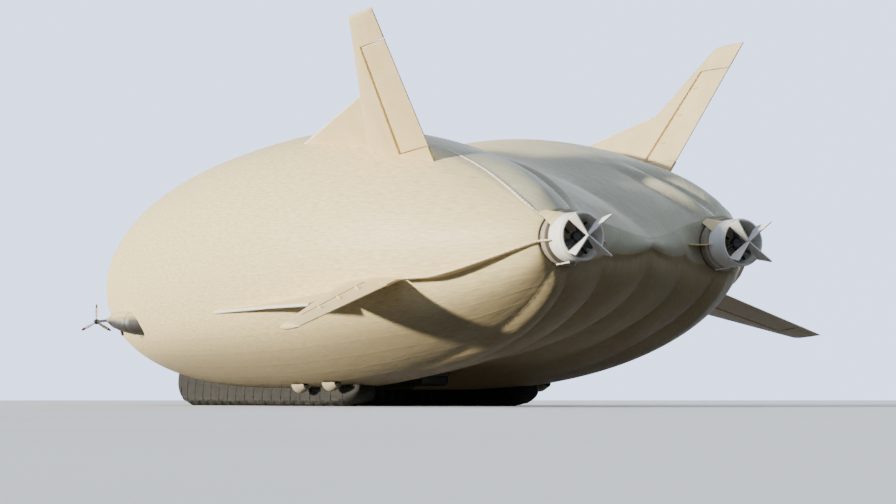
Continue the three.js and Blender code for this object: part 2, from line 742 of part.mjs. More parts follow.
// Strakes
function makeSideStrake() {
  const { front, back, from, to, power } = SIDE_STRAKE_Z;
  const flat = plate(SIDE_STRAKE, STRAKE_THICKNESS, 0).refineToLength(1.5 * M);
  const bent = flat.warp((v) => {
    v[2] += mix(front, back, clamp01((v[1] - from) / (to - from)) ** power);
  });
  return largest(bent.subtract(hullSeat));
}
addPair("side_strake", "fin", makeSideStrake());
const innerStrake = plate(INNER_STRAKE, STRAKE_THICKNESS, ENGINE.z - INNER_STRAKE_DROP);
addPair("inner_strake", "fin", largest(innerStrake.subtract(hullSeat)));

// The gondola: a cabin shell, its door and glass, the beam, the modules and the domes
const roofAt = (y) => mix(CABIN_ROOF.front, CABIN_ROOF.back, (y - CABIN.front) / (CABIN.back - CABIN.front));

function makeCabinBody(inset) {
  const { x, front, back, floor } = CABIN;
  const section = (y, ahead, rise, share) => {
    const w = (x - inset) * share;
    const low = floor + rise + inset;
    const half = [
      [0, y - ahead, low],
      [w * CABIN_EDGE.share, y - ahead * CABIN_EDGE.ahead, low],
      [w, y, low + CABIN_EDGE.rise],
      [w, y, roofAt(y) - inset],
      [0, y - ahead, roofAt(y) - inset],
    ];
    const far = half.slice(1, -1).reverse();
    return [...half, ...far.map(([px, py, pz]) => [-px, py, pz])];
  };
  const rings = CABIN_RINGS.map(([behind, ahead, rise, share], i) =>
    section(front + behind * M + (i === 0 ? inset : 0), ahead * M, rise * M, share),
  );
  rings.push(section(back - inset, 0, 0, 1));
  return loft(rings);
}

const cabinWall = makeCabinBody(0).subtract(makeCabinBody(CABIN.wall));
const windowCut = (side, y, width) => {
  const x = side * CABIN.x;
  return block(x - M / 2, x + M / 2, y, y + width, WINDOW_SILL, roofAt(y + width) - WINDOW_HEAD);
};
const windowPlaces = WINDOW_ROWS.flatMap(({ side, front, count }) => [
  { side, y: COCKPIT_WINDOW.front, width: COCKPIT_WINDOW.width },
  ...Array.from({ length: count }, (_, i) => ({ side, y: front + i * WINDOW.pitch, width: WINDOW.width })),
]);
const doorCut = (grow) => {
  const y = DOOR.front;
  const high = roofAt(y + DOOR.width) - DOOR.head;
  return block(
    -CABIN.x - M / 2,
    -CABIN.x + M / 2,
    y - grow,
    y + DOOR.width + grow,
    DOOR.low - grow,
    high - PLAY + grow,
  );
};
const noseCut = (grow) => {
  const w = WINDSCREEN.width / 2 + grow;
  const back = CABIN.front + M / 2;
  return block(-w, w, back - WINDSCREEN.depth, back, WINDSCREEN.low - grow, WINDSCREEN.high + grow);
};

function makeCabin() {
  let shell = cabinWall.subtract(noseCut(0)).subtract(doorCut(PLAY));
  for (const { side, y, width } of windowPlaces) shell = shell.subtract(windowCut(side, y, width));
  return largest(shell);
}
add("cabin", "cabin", makeCabin());
add("cabin_door", "cabin", cabinWall.intersect(doorCut(0)));

// Window glass: one strip a side and the windscreen, each just inside the wall
const paneInset = CABIN.wall + GAP;
const paneShell = makeCabinBody(paneInset).subtract(makeCabinBody(paneInset + GLASS.thickness));
for (const [name, side] of [
  ["cabin_glass_port", 1],
  ["cabin_glass_starboard", -1],
]) {
  const places = windowPlaces.filter((place) => place.side === side);
  let pane = null;
  for (const [from, to] of [
    [places[0].y, places[0].y + places[0].width],
    [places[1].y, places.at(-1).y + WINDOW.width],
  ]) {
    const x = side * (CABIN.x - CABIN.wall);
    const low = WINDOW_SILL - GLASS.lap;
    const high = roofAt(to) - GLASS.lap / 2;
    const strip = block(x - M / 4, x + M / 4, from - GLASS.lap, to + GLASS.lap, low, high);
    pane = pane ? pane.add(strip) : strip;
  }
  const joined = pane.add(paneBridge(side, places));
  add(name, "glass", largest(paneShell.intersect(joined)));
}

// A narrow strip of the glass joins the cockpit pane to the row behind it, inside the wall.
function paneBridge(side, places) {
  const x = side * (CABIN.x - CABIN.wall);
  const low = WINDOW_SILL - GLASS.lap;
  return block(x - M / 4, x + M / 4, places[0].y, places[1].y, low, low + GLASS.lap / 2);
}
const inside = makeCabinBody(CABIN.wall);
const screen = inside.translate([0, SCREEN_SET_BACK, 0]);
const windscreen = screen
  .subtract(screen.translate([0, GLASS.thickness, 0]))
  .intersect(noseCut(GLASS.lap))
  .subtract(cabinWall)
  .subtract(cabinWall.translate([0, GAP, 0]));
add("windscreen", "glass", largest(windscreen));

// The pylon closes the space between the cabin's roof and the keel, and the beam holds the modules
const pylon = block(-BEAM.x, BEAM.x, CABIN.front + M, CABIN.back, PYLON.low, PYLON.high);
add("cabin_pylon", "metal", largest(pylon.subtract(makeCabinBody(-GAP)).subtract(hullSeat)));
const beam = block(-BEAM.x, BEAM.x, BEAM.front, BEAM.back, BEAM.low, BEAM.high);
add("payload_beam", "metal", largest(beam.subtract(hullSeat)));

for (const { name, front, back, half, low } of MODULES) {
  const { bevel, inset, share } = MODULE_EDGE;
  const top = BEAM.low - GAP;
  const section = (y, cut) => {
    const side = [
      [half * share * M - cut, low * M + cut],
      [half * M - cut, low * M + bevel],
      [half * M - cut, top],
    ];
    const far = [...side].reverse().map(([x, z]) => [-x, z]);
    return [...side, ...far].map(([x, z]) => [x, y, z]);
  };
  const ends = [
    [front * M, inset],
    [front * M + bevel, 0],
    [back * M - bevel, 0],
    [back * M, inset],
  ];
  add(name, "cabin", loft(ends.map(([y, cut]) => section(y, cut))));
}

for (const { name, y, radius, depth, under } of DOMES) {
  const drop = (depth - radius) * M;
  const top = under - GAP;
  const ball = new THREE.SphereGeometry(radius * M, BALL_SIDES, BALL_RINGS);
  const thin = radius * DOME_NECK * M;
  const neck = new THREE.CylinderGeometry(thin, thin, depth * M, BALL_SIDES).rotateX(Math.PI / 2);
  const lower = solid(ball.translate(0, y * M, under - drop));
  const body = lower.add(solid(neck.translate(0, y * M, under - drop / 2)));
  add(name, "cabin", body.subtract(block(-M, M, y * M - M, y * M + M, top, top + 2 * M)));
}

export default airship;
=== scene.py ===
"""The twin-lobed airship's visual model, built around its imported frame.

Lengths in this script are real metres, measured from a point between the two lobes, level with their centre
lines: x to port, y from nose to stern, z up. to_frame() brings them to the frame, at a tenth of the size.
"""
from math import atan2, cos, hypot, pi, radians, sin, sqrt, tan

import bmesh
import bpy
import numpy as np
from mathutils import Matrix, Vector


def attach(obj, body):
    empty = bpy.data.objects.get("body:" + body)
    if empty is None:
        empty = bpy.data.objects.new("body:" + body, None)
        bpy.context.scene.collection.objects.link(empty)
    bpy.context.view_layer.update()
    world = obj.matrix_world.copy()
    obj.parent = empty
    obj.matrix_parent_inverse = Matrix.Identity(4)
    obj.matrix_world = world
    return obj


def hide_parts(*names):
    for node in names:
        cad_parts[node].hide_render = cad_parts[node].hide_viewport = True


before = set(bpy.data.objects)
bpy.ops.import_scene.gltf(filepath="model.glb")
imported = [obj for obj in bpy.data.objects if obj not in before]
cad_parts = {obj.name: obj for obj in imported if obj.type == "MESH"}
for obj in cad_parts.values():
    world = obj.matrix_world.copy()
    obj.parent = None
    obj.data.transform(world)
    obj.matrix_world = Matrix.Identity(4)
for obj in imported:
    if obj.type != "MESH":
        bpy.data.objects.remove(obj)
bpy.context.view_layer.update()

SCALE = 0.1
ORIGIN = np.array([0.0, -0.2, 12.0])
FLOOR = -12.0
SIDES = (("port", 1), ("starboard", -1))

# The hull: nose, widest station, end of the fabric, the lobes' centres and radii, as in the frame's solids.
NOSE_Y, WIDEST_Y, TAIL_Y = -46.0, 2.7, 42.2
LOBE_RADIUS, TAIL_RADIUS = 10.65, 1.9
LOBE_X = {"nose": 5.9, "widest": 6.75, "tail": 6.4}
LOBE_Z = {"nose": -0.8, "tail": -0.64}
NOSE_POWER = 2.5
TAPER = {"side": 0.84, "up": 0.85, "down": 0.62, "keel": 0.45}
VALLEY_SHARE, KEEL_SHARE = 0.87, 0.86
TRAILING_EDGE = {"top": -0.5, "bottom": -1.3}
# The fold that closes it: how far it stands out, how far from the middle it stays full, and its fade's width.
TRAILING_BULGE, FOLD_FLAT, FOLD_FADE = 0.5, 2.9, 1.7
CLEFT_DEPTH, CLEFT_LENGTH = 3.2, 12.0
BOW_DEPTH, BOW_POWER = 0.9, 8
CREASE_INNER, CREASE_FULL, CREASE_LOW_SHARE, CREASE_TOP_SHARE = 1.25, 5.0, 0.55, 0.8
CREASE_TOP, CREASE_BOTTOM = (77, 45, 8), (-80, -66, 12)
SCALLOP_DEPTH, SCALLOP_START, SCALLOP_TOP_START, SCALLOP_FULL = 0.5, 16.0, 28.0, 38.0
# Changes along the hull: where each starts, and over what length it grows to its full amount. The crown and
# under changes grow the painted shade on the crown and the underside; the third grows the wrinkles and their
# painted highlight.
CHANGES = {"crown": (6, 24), "under": (14, 16), "wrinkling_and_highlight": (12, 22), "slim": (WIDEST_Y, 20),
           "flat": (40.2, 2)}
# Height below the lobe's centre, as a share of its depth, where the underside's shade starts, and its blend.
BELLY_START, BELLY_BLEND = -0.42, 0.4
STATIONS = 190
SPAN_STEPS, LOBE_STEPS, CROWN_STEPS = 12, 64, 24
HALF_GIRTH = 42.0

# Stern units: the port engine's axis, the propeller and the duct.
ENGINE = np.array([6.4, 0.0, -0.64])
STERN_PROP_Y = 44.1
DUCT_OUTER, DUCT_START, DUCT_END = 1.66, 43.1, 44.95
# Corners of a vane: reach from the axis and distance behind the duct.
VANE_OUTLINE = ((0.02, 0.4), (1.1, 0.02), (1.64, 0.02), (1.9, 1.05), (1.985, 1.3), (1.97, 1.4), (1.9, 1.435),
                (0.02, 0.75))

# Front units: the port propeller's hub, and the nacelle's rings of x, y, z and radius.
FRONT_HUB = np.array([16.6, -28.5, -4.1])
NACELLE = (
    (16.6, -24.5, -4.1, 0.28), (16.52, -24.1, -4.12, 0.42), (16.4, -23.5, -4.16, 0.62),
    (16.15, -22.7, -4.23, 0.83), (15.9, -22.0, -4.3, 0.97), (15.5, -21.1, -4.38, 1.09),
    (15.1, -20.3, -4.45, 1.15), (14.4, -19.4, -4.49, 1.12), (13.7, -18.6, -4.5, 1.0),
)
NACELLE_BANDS = (-23.1, -20.7)
# Heights over the floor between which the nacelle's skin goes from cream to dark: painted shade.
NACELLE_PAINTED_SHADE = (8.25, 7.7)

# Fins: the axis that they turn about, angles, and rows of reach, leading edge, trailing edge, thickness.
FIN_AXIS_X, FIN_AXIS_Z = 6.6, -0.3
FIN_ANGLE = {"upper": 60.6, "lower": -22.3}
FIN_ROWS = {
    "upper": ((6.0, 19.0, 29.9, 1.4), (18.8, 28.0, 31.75, 0.5)),
    "lower": ((6.0, 20.4, 30.6, 1.4), (16.4, 29.7, 33.1, 0.5)),
}
# Place along the chord and share of the thickness.
FIN_PROFILE = ((0, 0.12), (0.08, 0.62), (0.35, 1.0), (0.7, 0.72), (1.0, 0.14))
# Corners of the low plate ahead of each fin: y and reach.
ROOT_PLATES = {
    "upper": ((9.5, 9.6), (9.5, 10.35), (24.6, 13.1), (26.0, 8.0)),
    "lower": ((2.9, 9.8), (2.9, 10.75), (15.0, 10.9), (23.8, 11.3), (26.0, 8.0)),
}
# Control surfaces: name, reach from and to, chord at either end.
SURFACES = {"upper": ("rudder", 8.1, 16.4, 3.5, 3.15), "lower": ("elevator", 8.4, 14.6, 3.0, 2.4)}
SLOT, HINGE_RADIUS, BORE_RADIUS = 0.07, 0.1, 0.105
# The hinge lies this share of the thickness behind the surface's nose.
NOSE_SHARE = 0.45
AFT_OF_FINS = 46.0

# The gondola
CABIN_X, CABIN_FRONT, CABIN_BACK, CABIN_FLOOR, CABIN_WALL = 1.55, -28.4, -16.7, -10.5, 0.12
CABIN_NOSE, CHIN_TOP, CHIN_BACK = 2.1, -9.6, 3.2
FLOOR_EDGE_WIDTH, FLOOR_EDGE_HEIGHT = 0.28, 0.35
ROOF_FRONT, ROOF_BACK = (-27.3, -8.45), (-16.7, -9.17)
WINDOW_SILL, WINDOW_HEAD = -9.72, 0.2
COCKPIT_WINDOW = (-24.2, -22.8)
WINDOW_WIDTH, WINDOW_PITCH = 0.6, 0.78
WINDOW_ROWS = {"port": (-21.75, 6), "starboard": (-21.0, 5)}
DOOR_FRONT, DOOR_WIDTH, DOOR_LOW, DOOR_GAP = -22.5, 1.05, -10.35, 0.05
# Windscreen panes on the port side: x from and to, and the levels of y between which they are cut.
SCREEN_PANES = (((0.07, 1.0), (-29.2, -27.4)), ((1.2, 2.2), (-27.75, -24.75)))
SCREEN_LOW, SCREEN_HIGH = -9.35, -8.72
# How far inside the skin the glass lies, and how far it laps over the edge of its opening.
GLASS_DEPTHS, GLASS_LAP = (0.05, 0.075), 0.03
SEAT_X = 0.62
# The beam's underside, and the first, last and pitch of its frames along y.
BEAM_LOW, BEAM_FRAMES = -9.5, (-16.0, 10.2, 1.6)
# Modules under the beam: front, back, half width and underside. Domes: y, radius and depth under the floor.
MODULES = {"mission_module": (-16.55, -6.5, 1.5, -10.5), "fuel_module": (-5.4, 3.6, 1.5, -10.6),
           "rear_module": (4.6, 10.2, 1.25, -10.35)}
LID_PITCH = 1.7
DOMES = ((-21.8, 0.24, 0.36), (-17.1, 0.26, 0.8), (-10.5, 0.26, 0.86))


def to_frame(points):
    return (np.asarray(points, float) + ORIGIN) * SCALE


def mix(a, b, t):
    return a + (b - a) * t


def clamp(t):
    return min(1.0, max(0.0, t))


def smooth(t):
    t = clamp(t)
    return t * t * (3 - 2 * t)


def quarter(t):
    """From 0 to 1 along a quarter circle, flat at 0 and steep at 1."""
    return 1 - sqrt(max(0.0, 1 - t ** 2))


def circle(count):
    """Angles of a full turn in equal steps."""
    return np.linspace(0, 2 * pi, count, endpoint=False)


def span(sign, a, b):
    """Two distances from the middle plane as levels on one side, the lower first."""
    return sorted((sign * a, sign * b))


# ---- Shapes: each is (points in real metres, faces) ----


def rings(points, caps=True, loop=False):
    """A skin through closed rings of equal count; loop joins the last ring to the first."""
    points = np.asarray(points, float)
    n, m = points.shape[:2]
    faces = []
    for r in range(n if loop else n - 1):
        for i in range(m):
            j = (i + 1) % m
            s = (r + 1) % n
            faces.append((r * m + i, r * m + j, s * m + j, s * m + i))
    if caps and not loop:
        faces += [tuple(range(m))[::-1], tuple(range((n - 1) * m, n * m))]
    return points.reshape(-1, 3), faces


def grid(n, m):
    """The faces of an open skin through n rows of m points."""
    return [(r * m + i, r * m + i + 1, (r + 1) * m + i + 1, (r + 1) * m + i)
            for r in range(n - 1) for i in range(m - 1)]


def lathe(profile, centre=(0, 0, 0), sides=64):
    """A closed skin turned about a line along y: profile rows are (radius, y)."""
    cx, _, cz = centre
    rows = [[(cx + r * cos(a), y, cz + r * sin(a)) for a in circle(sides)] for r, y in profile]
    return rings(rows, caps=False, loop=profile[0][0] > 0 and profile[-1][0] > 0)


def tube(path, radius, sides=12, flat=1.0, up=(0, 0, 1)):
    """A rod along a path; radius may differ from point to point, and flat squeezes it along up."""
    path = np.asarray(path, float)
    radii = np.broadcast_to(radius, len(path))
    rows = []
    for k, point in enumerate(path):
        along = path[min(k + 1, len(path) - 1)] - path[max(k - 1, 0)]
        along /= np.linalg.norm(along)
        across = np.cross(along, up)
        if np.linalg.norm(across) < 1e-6:
            across = np.cross(along, (1, 0, 0))
        across /= np.linalg.norm(across)
        lift = np.cross(across, along)
        rows.append([point + radii[k] * (cos(a) * across + flat * sin(a) * lift)
                     for a in circle(sides)])
    return rings(rows)


def inset(outline, d):
    """A polygon moved in by d, each corner along its own bisector."""
    pts = np.asarray(outline, float)
    area = 0.5 * np.sum(pts[:, 0] * np.roll(pts[:, 1], -1) - np.roll(pts[:, 0], -1) * pts[:, 1])
    before, after = pts - np.roll(pts, 1, 0), np.roll(pts, -1, 0) - pts
    unit = [e / np.maximum(np.linalg.norm(e, axis=1), 1e-9)[:, None] for e in (before, after)]
    normals = [np.stack([-e[:, 1], e[:, 0]], 1) * (1 if area > 0 else -1) for e in unit]
    total = normals[0] + normals[1]
    return pts + total * (2 * d / np.maximum(np.sum(total * total, 1), 0.5))[:, None]


def doubled(half, *flip):
    """A half outline with its mirror image: flip is 1 or -1 for each axis."""
    return half + [tuple(value * way for value, way in zip(point, flip)) for point in half[::-1]]


def lay(outline, level, plane):
    """Polygon points at a level of the third axis, in the named plane."""
    flat = np.full((len(outline), 3), float(level))
    flat[:, ["xyz".index(axis) for axis in plane]] = outline
    return flat


def slab(outline, low, high, plane="xy", bevel=0.0):
    """A plate with the outline's shape between two levels, its edges rounded by the bevel."""
    steps = (0, 0.3, 1) if bevel else (1,)
    edge = [(bevel * (1 - sin(t * pi / 2)), bevel * (1 - cos(t * pi / 2))) for t in steps]
    rows = [lay(inset(outline, cut), low + rise, plane) for cut, rise in edge]
    rows += [lay(inset(outline, cut), high - rise, plane) for cut, rise in edge[::-1]]
    return rings(rows)


def rounded(a0, a1, b0, b1, r, steps=4):
    """A rectangle's outline with round corners."""
    out = []
    corners = ((a1 - r, b1 - r, 0), (a0 + r, b1 - r, 90), (a0 + r, b0 + r, 180), (a1 - r, b0 + r, 270))
    for ca, cb, start in corners:
        for k in range(steps + 1):
            t = radians(start + 90 * k / steps)
            out.append((ca + r * cos(t), cb + r * sin(t)))
    return np.array(out)


def brick(x0, x1, y0, y1, z0, z1, bevel=0.03):
    """A block with rounded edges."""
    return slab(rounded(x0, x1, y0, y1, bevel * 1.5, 3), z0, z1, "xy", bevel)


def rim(outline, width, low, high, plane):
    """A flat frame round an outline, width wide outwards."""
    outer = inset(outline, -width)
    corners = ((outer, low), (outer, high), (outline, high), (outline, low))
    return rings([lay(edge, level, plane) for edge, level in corners], loop=True)


def ball(centre, radii, rows=12, sides=24):
    """An ellipsoid, from its top down."""
    out = []
    for k in range(rows + 1):
        t = pi * k / rows
        way = [(sin(t) * cos(a), sin(t) * sin(a), cos(t)) for a in circle(sides)]
        out.append([np.array(centre) + np.array(radii) * step for step in way])
    return rings(out, caps=False)


def moved(shape, by):
    return shape[0] + np.asarray(by, float), shape[1]


def turned(shape, angle):
    """The shape turned about the y axis, in degrees from x towards z."""
    a = radians(angle)
    x, y, z = shape[0].T
    return np.column_stack([x * cos(a) - z * sin(a), y, x * sin(a) + z * cos(a)]), shape[1]


def joined(*shapes):
    points, faces, base = [], [], 0
    for verts, quads in shapes:
        points.append(verts)
        faces += [tuple(base + i for i in face) for face in quads]
        base += len(verts)
    return np.vstack(points), faces


def mirrored(shape):
    return shape[0] * [-1, 1, 1], [face[::-1] for face in shape[1]]


def inside_out(shape):
    return shape[0], [face[::-1] for face in shape[1]]


def mesh_of(name, points, faces):
    mesh = bpy.data.meshes.new(name)
    mesh.from_pydata(np.asarray(points).tolist(), [], faces)
    return mesh


def welded(mesh, distance):
    """The mesh with points this near merged, and every face turned outward."""
    work = bmesh.new()
    work.from_mesh(mesh)
    bmesh.ops.remove_doubles(work, verts=work.verts, dist=distance)
    bmesh.ops.recalc_face_normals(work, faces=work.faces)
    work.to_mesh(mesh)
    work.free()
    return mesh


def linked(name, data):
    """A new object in the scene."""
    obj = bpy.data.objects.new(name, data)
    bpy.context.scene.collection.objects.link(obj)
    return obj


def loose(shape):
    """A Blender object of the shape, for a boolean."""
    return linked("loose", welded(mesh_of("loose", *shape), 1e-5))


def carved(shape, cutters, operation="DIFFERENCE"):
    """The shape after a boolean with each cutter in turn."""
    target = loose(shape)
    tools = [loose(cutter) for cutter in cutters]
    for tool in tools:
        step = target.modifiers.new("cut", "BOOLEAN")
        step.object = tool
        step.operation = operation
        step.solver = "EXACT"
    done = target.evaluated_get(bpy.context.evaluated_depsgraph_get())
    mesh = bpy.data.meshes.new_from_object(done)
    points = np.array([v.co for v in mesh.vertices])
    faces = [tuple(p.vertices) for p in mesh.polygons]
    bpy.data.meshes.remove(mesh)
    for obj in [target, *tools]:
        bpy.data.objects.remove(obj)
    return points, faces


def piece(name, parts, body="hull", replaces=(), slot="cabin_grey", sharp=38, uv=None, zones=None):
    """One object from (shape, material) pairs, in the frame's place, riding on its body."""
    points, faces = joined(*(shape for shape, _ in parts))
    mesh = mesh_of(name, to_frame(points), faces)
    materials = list(dict.fromkeys(material for _, material in parts))
    for material in materials:
        mesh.materials.append(material)
    index = [materials.index(material) for shape, material in parts for _ in shape[1]]
    mesh.polygons.foreach_set("material_index", index)
    if uv is not None:
        layer = mesh.uv_layers.new(name="fabric")
        corners = np.empty(len(mesh.loops), dtype=int)
        mesh.loops.foreach_get("vertex_index", corners)
        layer.data.foreach_set("uv", np.asarray(uv, float)[corners].ravel())
    if zones is not None:
        store = mesh.attributes.new("zones", "FLOAT_COLOR", "POINT")
        store.data.foreach_set("color", np.asarray(zones, float).ravel())
    welded(mesh, 1e-6)
    mesh.polygons.foreach_set("use_smooth", [True] * len(mesh.polygons))
    mesh.set_sharp_from_angle(angle=radians(sharp))
    mesh.update()
    obj = linked(name, mesh)
    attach(obj, body)
    if replaces:
        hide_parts(*replaces)
    return obj


def both(name, parts, body="hull", replaces=(), **options):
    """The port piece and its mirror image; {side} in a body's or node's name is filled in."""
    made = []
    for side, sign in SIDES:
        chosen = parts if sign > 0 else [(mirrored(shape), material) for shape, material in parts]
        nodes = [node.format(side=side) for node in replaces]
        made.append(piece(f"{name}_{side}", chosen, body.format(side=side), nodes, **options))
    return made


# ---- Materials ----


def give(socket, value):
    """Sets a socket's own value; colours are given without their alpha."""
    socket.default_value = (*value, 1.0) if socket.type == "RGBA" else value


class Surface:
    """A node material: each call adds a node and returns its socket."""

    def __init__(self, name, roughness, metallic=0.0, **shader):
        self.material = bpy.data.materials.new(name)
        self.material.use_nodes = True
        self.tree = self.material.node_tree
        self.shader = self.tree.nodes["Principled BSDF"]
        for key, value in {"Roughness": roughness, "Metallic": metallic, **shader}.items():
            give(self.shader.inputs[key.replace("_", " ")], value)

    def node(self, kind, inputs, output=0, **settings):
        made = self.tree.nodes.new(kind)
        for key, value in settings.items():
            setattr(made, key, value)
        for key, value in inputs.items():
            if isinstance(value, bpy.types.NodeSocket):
                self.tree.links.new(value, made.inputs[key])
            else:
                give(made.inputs[key], value)
        return made.outputs[output]

    def place(self, scale=(1, 1, 1)):
        """Coordinates in real metres from the frame's origin, stretched by a scale."""
        at = self.node("ShaderNodeTexCoord", {}, "Object")
        return self.node("ShaderNodeMapping", {"Vector": at, "Scale": [v / SCALE for v in scale]})

    def girth(self, scale=(1, 1, 1)):
        """Coordinates on the hull's fabric: metres round it and metres along it."""
        at = self.node("ShaderNodeUVMap", {}, uv_map="fabric")
        return self.node("ShaderNodeMapping", {"Vector": at, "Scale": scale})

    def noise(self, vector, scale, detail=3.0, rough=0.5):
        return self.node("ShaderNodeTexNoise", {
            "Vector": vector, "Scale": scale, "Detail": detail, "Roughness": rough})

    def math(self, operation, a, b=0.0):
        return self.node("ShaderNodeMath", {0: a, 1: b}, operation=operation)

    def split(self, vector, axis):
        return self.node("ShaderNodeSeparateXYZ", {"Vector": vector}, "XYZ"[axis])

    def spread(self, value, low, high, to_low=0.0, to_high=1.0):
        """A value's range stretched onto another, and held at its ends."""
        return self.node("ShaderNodeMapRange", {
            "Value": value, "From Min": low, "From Max": high, "To Min": to_low, "To Max": to_high})

    def line(self, value, pitch, width):
        """1 on thin lines a pitch apart along a coordinate, 0 between them."""
        across = self.math("PINGPONG", value, pitch / 2)
        return self.spread(across, width, 0.0)

    def blend(self, share, a, b):
        return self.node("ShaderNodeMix", {0: share, 6: a, 7: b}, 2, data_type="RGBA")

    def tones(self, noise, first, second):
        """Two colours mixed by a noise."""
        return self.blend(self.spread(noise, 0.3, 0.7), first, second)

    def laid(self, base, mask, amount, colour):
        """A colour laid over the base where the mask is, by the amount at most."""
        return self.blend(self.math("MULTIPLY", mask, amount), base, colour)

    def colour(self, socket):
        self.tree.links.new(socket, self.shader.inputs["Base Color"])

    def roughness(self, socket):
        self.tree.links.new(socket, self.shader.inputs["Roughness"])

    def bump(self, height, depth, below=None):
        """Adds relief of a real depth in metres over an earlier bump."""
        inputs = {"Height": height, "Distance": depth * SCALE, "Strength": 1.0}
        if below is not None:
            inputs["Normal"] = below
        out = self.node("ShaderNodeBump", inputs)
        self.tree.links.new(out, self.shader.inputs["Normal"])
        return out


def make_hull_fabric():
    """Cream laminate: fine lengthwise dashes, gore seams and cross seams, painted shade greying the crown and
    darkening the underside, and wrinkles with a painted highlight on the crown.
    """
    s = Surface("hull_fabric", 0.5, Specular_IOR_Level=0.3)
    at = s.girth()
    u, v = s.split(at, 0), s.split(at, 1)
    streak = s.noise(s.girth((9.0, 0.35, 1)), 1.0, 4.0, 0.6)
    dash = s.noise(s.girth((8.0, 1.1, 1)), 1.0, 1.0, 0.5)
    broad = s.noise(s.girth((0.35, 0.09, 1)), 1.0, 2.0)
    base = s.blend(s.spread(streak, 0.34, 0.66), (0.74, 0.585, 0.27), (0.82, 0.67, 0.355))
    base = s.blend(s.spread(broad, 0.35, 0.65, 0.0, 0.3), base, (0.75, 0.60, 0.30))
    base = s.blend(s.spread(dash, 0.56, 0.66, 0.0, 0.5), base, (0.92, 0.81, 0.55))
    base = s.blend(s.spread(dash, 0.42, 0.32, 0.0, 0.42), base, (0.52, 0.395, 0.19))
    zones = s.node("ShaderNodeAttribute", {}, "Color", attribute_name="zones")
    split = s.node("ShaderNodeSeparateColor", {"Color": zones}).node
    crown, wrinkled_and_highlit, belly = split.outputs[0], split.outputs[1], split.outputs[2]
    # Painted shade: the crown greyed and the underside darkened.
    base = s.laid(base, crown, 0.75, (0.30, 0.32, 0.265))
    base = s.laid(base, belly, 0.75, (0.15, 0.115, 0.07))
    gore = s.line(u, 1.5, 0.03)
    cross = s.line(v, 8.8, 0.04)
    seams = s.math("MAXIMUM", gore, s.math("MULTIPLY", cross, 0.6))
    base = s.laid(base, seams, 0.09, (0.46, 0.37, 0.25))
    wrinkles = s.noise(s.girth((0.8, 2.2, 1)), 1.0, 4.0, 0.6)
    # Painted highlight: pale streaks on the wrinkles of the crown.
    pale = s.math("MULTIPLY", s.spread(wrinkles, 0.52, 0.72), s.math("MULTIPLY", wrinkled_and_highlit, crown))
    s.colour(s.laid(base, pale, 0.5, (0.66, 0.64, 0.56)))
    s.roughness(s.spread(broad, 0.3, 0.7, 0.44, 0.58))
    relief = s.bump(s.math("MULTIPLY", wrinkles, wrinkled_and_highlit), 0.09)
    relief = s.bump(s.line(u, 1.5, 0.16), 0.008, below=relief)
    relief = s.bump(s.noise(s.girth((1.3, 0.5, 1)), 1.0, 3.0), 0.04, below=relief)
    s.bump(s.noise(s.girth((60, 60, 1)), 1.0, 1.0), 0.004, below=relief)
    return s.material


def make_paint(name, light, dark, roughness, grime=(0.3, 0.27, 0.22), pitch=None):
    """Painted composite: soft mottling, grime that runs down, and thin panel lines where a pitch is given."""
    s = Surface(name, roughness)
    mottle = s.noise(s.place(), 0.55, 5.0, 0.6)
    runs = s.noise(s.place((3.2, 3.2, 0.35)), 1.0, 4.0, 0.55)
    base = s.tones(mottle, dark, light)
    base = s.blend(s.spread(runs, 0.58, 0.78, 0.0, 0.35), base, grime)
    normal = s.bump(s.noise(s.place(), 9.0, 2.0), 0.004)
    if pitch:
        lines = s.line(s.split(s.place(), 1), pitch, 0.03)
        base = s.laid(base, lines, 0.55, grime)
        s.bump(s.math("MULTIPLY", lines, -1.0), 0.02, below=normal)
    s.colour(base)
    s.roughness(s.spread(mottle, 0.3, 0.7, roughness - 0.06, roughness + 0.08))
    return s.material


def make_fin_skin():
    """Cream fin skin with ribs and spars showing as faint lines."""
    s = Surface("fin_skin", 0.45)
    at = s.place()
    x = s.math("ABSOLUTE", s.split(at, 0))
    along, z = s.split(at, 1), s.split(at, 2)
    mottle = s.noise(s.place((0.5, 0.5, 0.5)), 1.0, 4.0, 0.6)
    streak = s.noise(s.place((2.4, 0.25, 2.4)), 1.0, 3.0)
    base = s.tones(mottle, (0.66, 0.51, 0.255), (0.74, 0.59, 0.325))
    base = s.blend(s.spread(streak, 0.5, 0.75, 0.0, 0.2), base, (0.60, 0.50, 0.36))
    rib = s.line(s.math("ADD", x, s.math("MULTIPLY", z, 0.9)), 2.1, 0.03)
    spar = s.line(along, 3.1, 0.025)
    lines = s.math("MAXIMUM", rib, s.math("MULTIPLY", spar, 0.7))
    s.colour(s.laid(base, lines, 0.05, (0.40, 0.32, 0.2)))
    s.roughness(s.spread(mottle, 0.3, 0.7, 0.38, 0.52))
    normal = s.bump(s.math("MULTIPLY", lines, -1.0), 0.008)
    s.bump(s.noise(s.place(), 6.0, 2.0), 0.005, below=normal)
    return s.material


def make_skid_fabric():
    """Coated fabric of the inflated skids: weave, scuffs towards the sole, dust."""
    s = Surface("skid_fabric", 0.7, Specular_IOR_Level=0.18)
    mottle = s.noise(s.place(), 0.9, 5.0, 0.6)
    scuff = s.noise(s.place((0.6, 0.12, 2.0)), 3.0, 4.0, 0.65)
    low = s.spread(s.split(s.place(), 2), 1.6, 0.0)
    base = s.tones(mottle, (0.018, 0.0165, 0.0145), (0.028, 0.026, 0.023))
    base = s.blend(s.math("MULTIPLY", s.spread(scuff, 0.5, 0.7), low), base, (0.05, 0.046, 0.04))
    s.colour(base)
    normal = s.bump(s.noise(s.place((14, 14, 40)), 1.0, 1.0), 0.006)
    s.bump(mottle, 0.02, below=normal)
    return s.material


